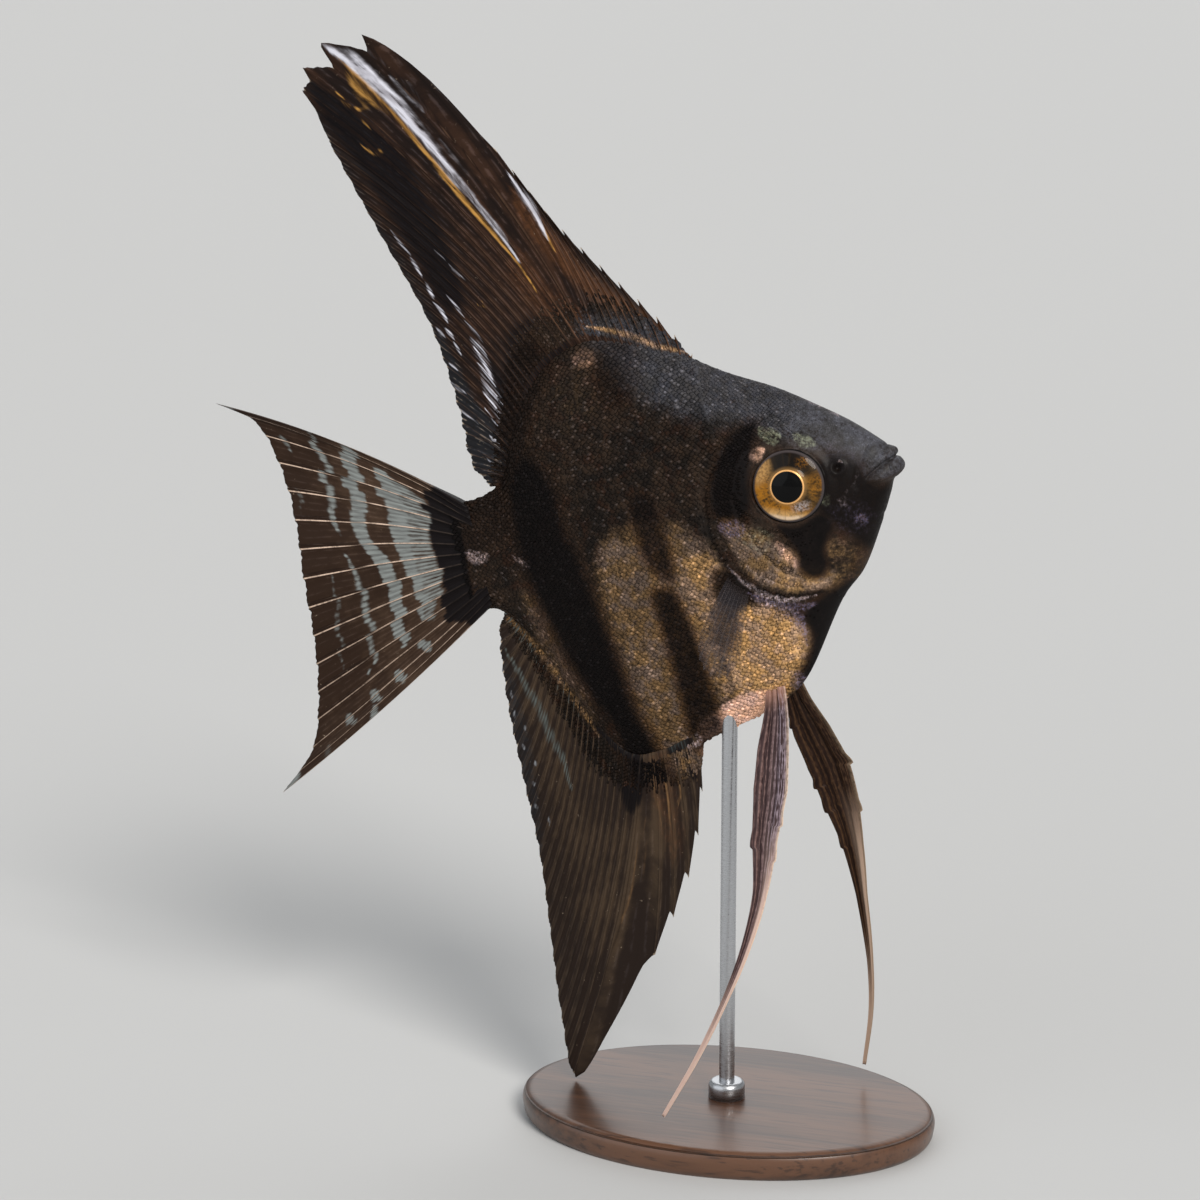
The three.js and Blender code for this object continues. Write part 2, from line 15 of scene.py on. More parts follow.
import bpy
import numpy as np
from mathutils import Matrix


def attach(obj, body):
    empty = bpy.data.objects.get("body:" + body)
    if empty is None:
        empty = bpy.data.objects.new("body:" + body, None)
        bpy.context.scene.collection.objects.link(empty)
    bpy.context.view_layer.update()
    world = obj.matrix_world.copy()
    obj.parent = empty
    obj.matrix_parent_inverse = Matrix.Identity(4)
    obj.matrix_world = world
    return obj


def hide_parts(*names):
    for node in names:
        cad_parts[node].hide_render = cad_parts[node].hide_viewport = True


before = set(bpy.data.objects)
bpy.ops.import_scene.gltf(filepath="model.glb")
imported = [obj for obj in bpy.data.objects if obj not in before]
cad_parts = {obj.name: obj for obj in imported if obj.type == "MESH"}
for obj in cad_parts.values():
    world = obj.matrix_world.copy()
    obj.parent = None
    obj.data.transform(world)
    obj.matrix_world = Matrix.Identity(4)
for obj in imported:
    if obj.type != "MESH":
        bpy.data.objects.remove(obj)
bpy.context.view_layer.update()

METRES = 0.001  # metres in a millimetre
BAKE_PATCH = 0.003  # side of one scale's patch on the coat's own map
SEED = 7

Array = np.ndarray
Point = tuple[float, ...]
Points = tuple[Point, ...]
Colour = tuple[float, float, float]
Material, Mesh, Object = bpy.types.Material, bpy.types.Mesh, bpy.types.Object

log = logging.getLogger("angelfish")


class Side(Enum):
    """The two flanks of the fish, with the sign of their y."""

    LEFT = 1
    RIGHT = -1

    @property
    def word(self) -> str:
        """The side's name in lower case."""
        return self.name.lower()


class Slot(Enum):
    """Material slots of the record."""

    SKIN = "skin"
    FIN = "fin"
    CLEAR_FIN = "clear_fin"
    EYE = "eye"
    WOOD = "dark_wood"
    STEEL = "steel"


class Mark(Enum):
    """Fields of the fish's markings, each stored on the meshes as an attribute."""

    BARS = "bars"
    GOLD = "gold"
    TAN = "tan"
    PINK = "pink"
    # Painted sheen of light on the nape and snout, and painted shadow of the pectoral fin on the flank.
    COOL = "cool"
    VIOLET = "violet"
    GREEN = "green"
    PALE = "pale"
    STREAK = "streak"
    OLIVE = "olive"
    TEAL = "teal"
    RUST = "rust"
    DARK = "dark"
    CLEAR = "clear"


# ---- Curves and small maths ----


def smoothstep(low: float, high: float, value: Array) -> Array:
    """Rises smoothly from 0 to 1 as value goes from low to high.

    Args:
        low: value that gives 0.
        high: value that gives 1.
        value: numbers to map.

    Returns:
        The mapped numbers.
    """
    t = np.clip((np.asarray(value, float) - low) / (high - low), 0, 1)
    return t * t * (3 - 2 * t)


def bump(offset: Array, width: float) -> Array:
    """Bell curve of height 1 at offset 0, down to 0.37 at width."""
    return np.exp(-((np.asarray(offset) / width) ** 2))


def unit(vectors: Array) -> Array:
    """Vectors scaled to length 1."""
    return vectors / np.maximum(np.linalg.norm(vectors, axis=-1, keepdims=True), 1e-9)


def hump(share: Array) -> Array:
    """Round lobe of height 1 between shares 0 and 1, and 0 outside."""
    return np.where((share > 0) & (share < 1), np.sin(np.pi * np.clip(share, 0, 1)) ** 2, 0)


class Profile:
    """Smooth function through (x, value) pairs, given from large x to small x."""

    def __init__(self, *pairs: Point) -> None:
        """Stores the pairs with the slope at each.

        Args:
            pairs: (x, value) pairs, sorted from large x to small x.
        """
        self.x, self.value = np.array(pairs[::-1], float).T
        last = len(pairs) - 1
        before = np.maximum(np.arange(len(pairs)) - 1, 0)
        after = np.minimum(np.arange(len(pairs)) + 1, last)
        self.slope = (self.value[after] - self.value[before]) / (self.x[after] - self.x[before])

    def __call__(self, x: Array) -> Array:
        """Values at x, held level beyond both ends."""
        i = np.clip(np.searchsorted(self.x, x, "right") - 1, 0, len(self.x) - 2)
        span = self.x[i + 1] - self.x[i]
        t = np.clip((x - self.x[i]) / span, 0, 1)
        ends = (1 + 2 * t) * (1 - t) ** 2 * self.value[i] + t ** 2 * (3 - 2 * t) * self.value[i + 1]
        return ends + span * (t * (1 - t) ** 2 * self.slope[i] + t ** 2 * (t - 1) * self.slope[i + 1])


class Curve:
    """Smooth centripetal curve through points."""

    def __init__(self, points: Sequence[Point], closed: bool = False, steps: int = 24) -> None:
        """Samples the curve densely.

        Args:
            points: points that the curve passes through.
            closed: whether the last point leads back to the first.
            steps: samples between two points.
        """
        knots = np.array(points, float)
        if closed:
            knots = np.vstack([knots[-1], knots, knots[0], knots[1]])
        else:
            knots = np.vstack([2 * knots[0] - knots[1], knots, 2 * knots[-1] - knots[-2]])
        gaps = np.sqrt(np.linalg.norm(np.diff(knots, axis=0), axis=1))[:, None]
        rise = np.diff(knots, axis=0) / gaps
        wide = (knots[2:] - knots[:-2]) / (gaps[1:] + gaps[:-1])
        slopes = rise[:-1] - wide + rise[1:]
        count = len(knots) - 3
        t = np.linspace(0, 1, steps, endpoint=False)[:, None]
        pieces = []
        for i in range(count):
            start, end, span = knots[i + 1], knots[i + 2], gaps[i + 1]
            pieces.append((1 + 2 * t) * (1 - t) ** 2 * start + t ** 2 * (3 - 2 * t) * end
                          + t * (1 - t) ** 2 * span * slopes[i] + t ** 2 * (t - 1) * span * slopes[i + 1])
        self.steps = steps
        self.samples = np.vstack([*pieces, knots[-2][None]])
        steps_length = np.linalg.norm(np.diff(self.samples, axis=0), axis=1)
        self.length_at = np.concatenate([[0], np.cumsum(steps_length)])

    def _read(self, places: Array, values: Array) -> Array:
        """Samples read where a rising list of values reaches the given places."""
        return np.stack([np.interp(places, values, axis) for axis in self.samples.T], axis=-1)

    def by_length(self, share: Array) -> Array:
        """Points at shares of the curve's length."""
        return self._read(np.asarray(share) * self.length_at[-1], self.length_at)

    def by_knot(self, share: Array) -> Array:
        """Points at shares of the way, counted in the curve's own points."""
        return self._read(np.asarray(share), np.linspace(0, 1, len(self.samples)))


def segment_distance(x: Array, z: Array, line: Array) -> tuple[Array, Array]:
    """Distance from points to a broken line, and how far along it the nearest place is.

    Args:
        x: the points' x.
        z: the points' z.
        line: (n, 2) points of the line.

    Returns:
        The distances and the shares of the line's length.
    """
    starts, ends = line[:-1], line[1:]
    lengths = np.linalg.norm(ends - starts, axis=1)
    offsets = np.concatenate([[0], np.cumsum(lengths)])
    nearest = np.full(np.shape(x), np.inf)
    share = np.zeros(np.shape(x))
    for start, end, length, offset in zip(starts, ends, lengths, offsets):
        along = (end - start) / length
        reach = np.clip((x - start[0]) * along[0] + (z - start[1]) * along[1], 0, length)
        distance = np.hypot(x - start[0] - reach * along[0], z - start[1] - reach * along[1])
        closer = distance < nearest
        nearest = np.where(closer, distance, nearest)
        share = np.where(closer, (offset + reach) / offsets[-1], share)
    return nearest, share


def inside(x: Array, z: Array, outline: Array) -> Array:
    """Whether points lie inside a closed outline of (n, 2) points."""
    within = np.zeros(np.shape(x), bool)
    for (x0, z0), (x1, z1) in zip(outline, np.roll(outline, -1, axis=0)):
        if z0 != z1:
            crosses = (z0 > z) != (z1 > z)
            within ^= crosses & (x < (x1 - x0) * (z - z0) / (z1 - z0) + x0)
    return within


# ---- Placing and mesh making ----


@dataclass(frozen=True)
class FishFrame:
    """Where the fish's level frame sits in the model: set back from the rod and tilted nose-up."""

    set_back: float = 8.3
    height: float = 88.6
    nose_up: float = math.radians(15.4)

    def turn(self, directions: Array, sign: int = 1) -> Array:
        """Turns (n, 3) directions from the fish's frame to the model's, or back where sign is -1."""
        c, s = math.cos(self.nose_up), sign * math.sin(self.nose_up)
        x, y, z = directions.T
        return np.stack([x * c - z * s, y, x * s + z * c], axis=1)

    def place(self, points: Array) -> Array:
        """Turns (n, 3) fish points into model points in metres."""
        return (self.turn(points) + (-self.set_back, 0, self.height)) * METRES

    def read(self, points: Array) -> Array:
        """Turns (n, 3) model points in metres back into fish points."""
        return self.turn(points / METRES + (self.set_back, 0, -self.height), -1)


FISH = FishFrame()


def grid_faces(rows: int, columns: int, wrap: bool = False) -> Array:
    """Quads of a grid of points stored row by row.

    Args:
        rows: number of rows.
        columns: points in each row.
        wrap: whether the last column joins the first.

    Returns:
        (n, 4) point numbers.
    """
    row, column = np.meshgrid(np.arange(rows - 1), np.arange(columns if wrap else columns - 1),
                              indexing="ij")
    after = (column + 1) % columns
    corners = [row * columns + column, row * columns + after,
               (row + 1) * columns + after, (row + 1) * columns + column]
    return np.stack([corner.ravel() for corner in corners], axis=1)


def tube_faces(rows: int, columns: int) -> list[Array]:
    """Faces of a tube closed at both ends.

    Args:
        rows: number of rings of points, with the two ends' middle points after them.
        columns: points in each ring.

    Returns:
        Point numbers of the quads and of the two fans of triangles.
    """
    ring, hub = np.arange(columns), np.full(columns, rows * columns)
    after, last = (ring + 1) % columns, (rows - 1) * columns
    fans = [np.stack([hub, after, ring], axis=1), np.stack([hub + 1, last + ring, last + after], axis=1)]
    return [grid_faces(rows, columns, wrap=True), *fans]


def make_mesh(name: str, points: Array, faces: Sequence[Array], flip: bool = False) -> Mesh:
    """A smooth-shaded mesh with consistent outward faces.

    Args:
        name: name of the mesh.
        points: (n, 3) points in metres, in the model's frame.
        faces: arrays of point numbers, one array for each count of corners.
        flip: whether the faces as given point inward.

    Returns:
        The mesh.
    """
    mesh = bpy.data.meshes.new(name)
    step = -1 if flip else 1
    polygons = [face[::step] for array in faces for face in array.tolist()]
    mesh.from_pydata(points.tolist(), [], polygons)
    mesh.shade_smooth()
    mesh.update()
    return mesh


def store(mesh: Mesh, name: str, values: Array) -> None:
    """Stores one number or one vector for each point of a mesh as a named attribute."""
    kind, part = ("FLOAT_VECTOR", "vector") if values.ndim == 2 else ("FLOAT", "value")
    attribute = mesh.attributes.get(name) or mesh.attributes.new(name, kind, "POINT")
    attribute.data.foreach_set(part, np.ascontiguousarray(values, np.float32).ravel())


def mesh_points(mesh: Mesh) -> Array:
    """The mesh's points as an (n, 3) array."""
    points = np.empty(len(mesh.vertices) * 3, np.float32)
    mesh.vertices.foreach_get("co", points)
    return points.reshape(-1, 3).astype(float)


def add_object(name: str, data: Any) -> Object:
    """Adds an object to the scene."""
    item = bpy.data.objects.new(name, data)
    bpy.context.scene.collection.objects.link(item)
    return item


def add_piece(name: str, mesh: Mesh, material: Material,
              nodes: Sequence[str] = ()) -> Object:
    """Adds a finished mesh to the scene as a piece of the object.

    Args:
        name: name of the piece.
        mesh: its mesh, in place.
        material: its only material.
        nodes: solids that the piece stands for.

    Returns:
        The new object.
    """
    piece = add_object(name, mesh)
    mesh.materials.clear()
    mesh.materials.append(material)
    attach(piece, "root")
    if nodes:
        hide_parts(*nodes)
    triangles = sum(len(polygon.vertices) - 2 for polygon in mesh.polygons)
    log.info("%s: %d triangles", name, triangles)
    return piece


# ---- Node trees ----


class Value:
    """An output socket that takes part in Python arithmetic."""

    def __init__(self, graph: "Graph", socket: bpy.types.NodeSocket) -> None:
        """Keeps the socket with the graph that it belongs to."""
        self.graph = graph
        self.socket = socket

    def __add__(self, other: Any) -> "Value":
        """self + other."""
        return self.graph.math("ADD", self, other)

    def __sub__(self, other: Any) -> "Value":
        """self - other."""
        return self.graph.math("SUBTRACT", self, other)

    def __rsub__(self, other: Any) -> "Value":
        """other - self."""
        return self.graph.math("SUBTRACT", other, self)

    def __mul__(self, other: Any) -> "Value":
        """self * other."""
        return self.graph.math("MULTIPLY", self, other)

    def __truediv__(self, other: Any) -> "Value":
        """self / other."""
        return self.graph.math("DIVIDE", self, other)

    def __rtruediv__(self, other: Any) -> "Value":
        """other / self."""
        return self.graph.math("DIVIDE", other, self)

    def __pow__(self, other: Any) -> "Value":
        """self ** other."""
        return self.graph.math("POWER", self, other)

    def __abs__(self) -> "Value":
        """abs(self)."""
        return self.graph.math("ABSOLUTE", self)

    __radd__ = __add__
    __rmul__ = __mul__


class Graph:
    """Writes the nodes of one node tree."""

    def __init__(self, tree: bpy.types.NodeTree) -> None:
        """Keeps the tree that is written."""
        self.tree = tree

    def node(self, kind: str, settings: Mapping[str, Any] | None = None,
             sockets: Mapping[Any, Any] | None = None) -> bpy.types.Node:
        """Adds a node.

        Args:
            kind: the node's type.
            settings: the node's own properties, set first.
            sockets: numbers, colours or Values for its inputs, by name or number.

        Returns:
            The node.
        """
        node = self.tree.nodes.new(kind)
        for name, setting in (settings or {}).items():
            setattr(node, name, setting)
        for key, value in (sockets or {}).items():
            self.feed(node.inputs[key], value)
        return node

    def feed(self, socket: bpy.types.NodeSocket, value: Any) -> None:
        """Links a Value to an input socket, or sets the socket to a number or a colour."""
        if isinstance(value, Value):
            self.tree.links.new(value.socket, socket)
        elif isinstance(value, tuple) and len(value) == 3 and socket.type == "RGBA":
            socket.default_value = (*value, 1.0)
        else:
            socket.default_value = value

    def out(self, node: bpy.types.Node, key: Any = 0) -> Value:
        """An output of a node as a Value."""
        return Value(self, node.outputs[key])

    def call(self, kind: str, settings: Mapping[str, Any] | None = None,
            sockets: Mapping[Any, Any] | None = None, key: Any = 0) -> Value:
        """Adds a node and returns one of its outputs."""
        return self.out(self.node(kind, settings, sockets), key)

    def math(self, operation: str, *operands: Any) -> Value:
        """A Math node on up to three operands."""
        return self.call("ShaderNodeMath", {"operation": operation}, dict(enumerate(operands)))

    def vector(self, operation: str, *operands: Any) -> Value:
        """A Vector Math node."""
        node = self.node("ShaderNodeVectorMath", {"operation": operation}, dict(enumerate(operands)))
        return self.out(node, "Value" if operation in ("LENGTH", "DOT_PRODUCT") else "Vector")

    def smooth(self, value: Value, low: float, high: float, to_low: float = 0, to_high: float = 1) -> Value:
        """Maps value smoothly from low..high to to_low..to_high, and holds it beyond."""
        sockets = {"Value": value, "From Min": low, "From Max": high, "To Min": to_low, "To Max": to_high}
        return self.call("ShaderNodeMapRange", {"interpolation_type": "SMOOTHSTEP"}, sockets)

    def mix(self, factor: Any, first: Any, second: Any, blend: str = "MIX") -> Value:
        """Mixes two colours."""
        settings = {"data_type": "RGBA", "blend_type": blend, "clamp_factor": True}
        return self.call("ShaderNodeMix", settings, {0: factor, 6: first, 7: second}, key=2)

    def split(self, vector: Value) -> tuple[Value, Value, Value]:
        """The three numbers of a vector."""
        node = self.node("ShaderNodeSeparateXYZ", sockets={0: vector})
        return self.out(node, 0), self.out(node, 1), self.out(node, 2)

    def join(self, x: Any, y: Any, z: Any) -> Value:
        """A vector from three numbers."""
        return self.call("ShaderNodeCombineXYZ", sockets={0: x, 1: y, 2: z})

    def noise(self, place: Value, scale: float, detail: float = 2, roughness: float = 0.5) -> Value:
        """Noise of about 0.2 to 0.8 at a place."""
        sockets = {"Vector": place, "Scale": scale, "Detail": detail, "Roughness": roughness}
        return self.call("ShaderNodeTexNoise", sockets=sockets, key="Fac")

    def cells(self, place: Value, scale: float, feature: str = "F1") -> Value:
        """Distance to the nearest of scattered points."""
        sockets = {"Vector": place, "Scale": scale}
        return self.call("ShaderNodeTexVoronoi", {"feature": feature}, sockets, key="Distance")

    def attribute(self, name: str, output: str = "Fac") -> Value:
        """A named attribute of the surface."""
        return self.call("ShaderNodeAttribute", {"attribute_name": name}, key=output)


# ---- Finishes ----


@dataclass(frozen=True)
class Finish:
    """A surface finish. The sockets that are the same all over are its fields."""

    name: str
    roughness: float = 0.45
    metallic: float = 0.0
    coat: float = 0.0
    coat_roughness: float = 0.1
    specular: float = 0.5

    def material(self) -> Material:
        """Builds the material.

        Returns:
            The material, with its nodes.
        """
        material = bpy.data.materials.new(self.name)
        material.use_nodes = True
        material.node_tree.nodes.clear()
        graph = Graph(material.node_tree)
        even = {"Roughness": self.roughness, "Metallic": self.metallic, "Coat Weight": self.coat,
                "Coat Roughness": self.coat_roughness, "Specular IOR Level": self.specular}
        surface = graph.node("ShaderNodeBsdfPrincipled", sockets={**even, **self.varying(graph)})
        graph.node("ShaderNodeOutputMaterial", sockets={"Surface": graph.out(surface, "BSDF")})
        return material

    def varying(self, graph: Graph) -> dict[str, Any]:
        """Sockets of the surface that change over it."""
        raise NotImplementedError

    @staticmethod
    def place(graph: Graph) -> Value:
        """The shaded point in the fish's frame."""
        coordinates = graph.call("ShaderNodeTexCoord", key="Object")
        origin = (-FISH.set_back * METRES, 0.0, FISH.height * METRES)
        settings = {"vector_type": "TEXTURE"}
        sockets = {"Vector": coordinates, "Location": origin, "Rotation": (0.0, -FISH.nose_up, 0.0),
                   "Scale": (METRES, METRES, METRES)}
        return graph.call("ShaderNodeMapping", settings, sockets)

    @staticmethod
    def glow(graph: Graph, colour: Value) -> Value:
        """A paler, cooler version of a colour, used as the colour of painted glints of light."""
        return graph.mix(0.8, graph.mix(1.0, colour, (2.0, 2.0, 2.1), "MULTIPLY"), (0.03, 0.03, 0.033), "ADD")

    @staticmethod
    def bumped(graph: Graph, height: Value, strength: float, depth: float) -> Value:
        """A Bump normal; depth is the height in metres that a height of 1 stands for."""
        sockets = {"Height": height, "Strength": strength, "Distance": depth}
        return graph.call("ShaderNodeBump", sockets=sockets)


@dataclass(frozen=True)
class FishSkin(Finish):
    """Skin and scales: dark back, golden flank, black bars and iridescent patches, with painted sheen, shade
    and glints of light.
    """

    scaled: bool = False
    roughness: float = 0.48
    coat: float = 0.02
    coat_roughness: float = 0.25
    specular: float = 0.11
    back: Colour = (0.0115, 0.0082, 0.0062)
    brown: Colour = (0.0290, 0.0180, 0.0115)
    warm: Colour = (0.0240, 0.0105, 0.0055)
    black: Colour = (0.0026, 0.0015, 0.0015)
    ember: Colour = (0.058, 0.023, 0.007)
    tints: tuple[tuple[Mark, Colour, Colour, float], ...] = (
        # Grey tint of the painted sheen on the nape and snout and of the pectoral fin's painted shadow.
        (Mark.COOL, (0.044, 0.043, 0.046), (0.060, 0.061, 0.071), 0.92),
        (Mark.GOLD, (0.170, 0.102, 0.046), (0.155, 0.108, 0.080), 0.94),
        (Mark.TAN, (0.600, 0.345, 0.138), (0.485, 0.307, 0.190), 0.95),
        (Mark.PINK, (1.0, 0.585, 0.390), (0.96, 0.600, 0.470), 0.97),
    )
    glints: tuple[tuple[Mark, Colour, Colour, float], ...] = (
        (Mark.VIOLET, (0.150, 0.096, 0.102), (0.088, 0.082, 0.140), 0.75),
        (Mark.GREEN, (0.20, 0.20, 0.125), (0.125, 0.135, 0.095), 0.75),
        (Mark.PALE, (0.52, 0.38, 0.33), (0.40, 0.33, 0.36), 0.85),
    )

    def varying(self, graph: Graph) -> dict[str, Any]:
        """Colour, roughness and fine relief of the skin."""
        place = self.place(graph)
        broad = graph.noise(place, 0.13, 3)
        patchy = graph.noise(place, 0.55, 3, 0.6)
        grain = graph.noise(place, 1.9, 3, 0.6)
        fine = graph.noise(place, 6.0, 2)
        hue = graph.noise(graph.vector("ADD", place, (40.0, 0.0, 0.0)), 0.42, 4, 0.62)
        ruffle = (patchy - 0.5) * 2.2 + (grain - 0.5) * 3.2
        colour = graph.mix(graph.smooth(broad * 0.5 + patchy * 0.5, 0.4, 0.6), self.back, self.brown)
        colour = graph.mix(graph.smooth(hue, 0.5, 0.64, 0, 0.7), colour, self.warm)
        for mark, tint, other, strength in self.tints:
            weight = graph.smooth(graph.attribute(mark.value) * (ruffle * 0.7 + 1), 0.04, 0.96)
            varied = graph.mix(graph.smooth(hue, 0.42, 0.6), tint, other)
            colour = graph.mix(weight * strength, colour, varied)
        bars = graph.attribute(Mark.BARS.value) + ruffle * 0.45
        lit_by = graph.math("MAXIMUM", graph.attribute(Mark.GOLD.value), graph.attribute(Mark.TAN.value))
        colour = graph.mix(graph.smooth(bars, -1.5, -0.1) * (lit_by * 0.5 + 0.15), colour, self.ember)
        dark = graph.smooth(bars, -1.0, 0.9)
        colour = graph.mix(dark * 0.96, colour, self.black)
        for mark, tint, other, strength in self.glints:
            weight = graph.smooth(graph.attribute(mark.value) * (ruffle * 0.9 + 1), 0.08, 1.0)
            weight = weight * graph.smooth(grain * 0.5 + fine * 0.5, 0.36, 0.58, 0.1, 1)
            varied = graph.mix(graph.smooth(fine, 0.4, 0.6), tint, other)
            colour = graph.mix(weight * strength, colour, varied)
        if self.scaled:
            colour = self.scale_tones(graph, colour, grain, dark)
        else:
            level = patchy * 0.25 + grain * 0.35 + fine * 0.4
            deep = graph.mix(1.0, colour, (0.42, 0.38, 0.37), "MULTIPLY")
            colour = graph.mix(graph.smooth(level, 0.4, 0.52, 0.62, 0), colour, deep)
            bright = graph.mix(1.0, colour, (1.7, 1.7, 1.75), "MULTIPLY")
            colour = graph.mix(graph.smooth(level, 0.5, 0.62), colour, bright)
            # Painted glints: scattered fine specks lifted to the paler glint colour, as points of light on
            # the bare skin.
            speck = graph.smooth(graph.cells(place, 1.9), 0.22, 0.08) * graph.smooth(grain, 0.46, 0.6)
            colour = graph.mix(speck * (1 - dark * 0.7) * 0.7, colour, self.glow(graph, colour))
        roughness = graph.smooth(grain, 0.3, 0.7, self.roughness - 0.08, self.roughness + 0.12)
        normal = self.bumped(graph, grain * 0.4 + fine * 0.6, 0.35, 0.00007)
        return {"Base Color": colour, "Roughness": roughness, "Normal": normal}

    def scale_tones(self, graph: Graph, colour: Value, grain: Value, dark: Value) -> Value:
        """Colour of a scale, from its root to its rim, with painted shade at the root and a painted glint
        near the rim.

        Args:
            graph: graph of the material.
            colour: colour of the skin under the scale.
            grain: noise of about one scale's size.
            dark: 1 on the black bars.

        Returns:
            The scale's own colour.
        """
        along, across, _ = graph.split(graph.attribute("local", "Vector"))
        tone = graph.attribute("tone")
        cast = graph.mix(graph.smooth(tone, 0.1, 0.9), (0.82, 0.82, 0.85), (1.17, 1.12, 1.06))
        colour = graph.mix(1.0, colour, cast, "MULTIPLY")
        # Painted shade: the scale darkens towards its root, where the scale in front overlaps it.
        shade = graph.smooth(along, 0.3, 0.75, 0.18, 0)
        colour = graph.mix(shade, colour, graph.mix(1.0, colour, (0.42, 0.38, 0.37), "MULTIPLY"))
        # Painted highlight: a small comma of paler colour near the rim of some scales, as a glint of light.
        off_middle = abs(across - 0.42)
        comma_glint = graph.smooth(along - off_middle * 0.5, 0.42, 0.62) * graph.smooth(off_middle, 0.3, 0.1)
        lit = comma_glint * graph.smooth(tone + (grain - 0.5) * 1.1, 0.78, 1.04) * (1 - dark * 0.75)
        return graph.mix(lit, colour, self.glow(graph, colour))


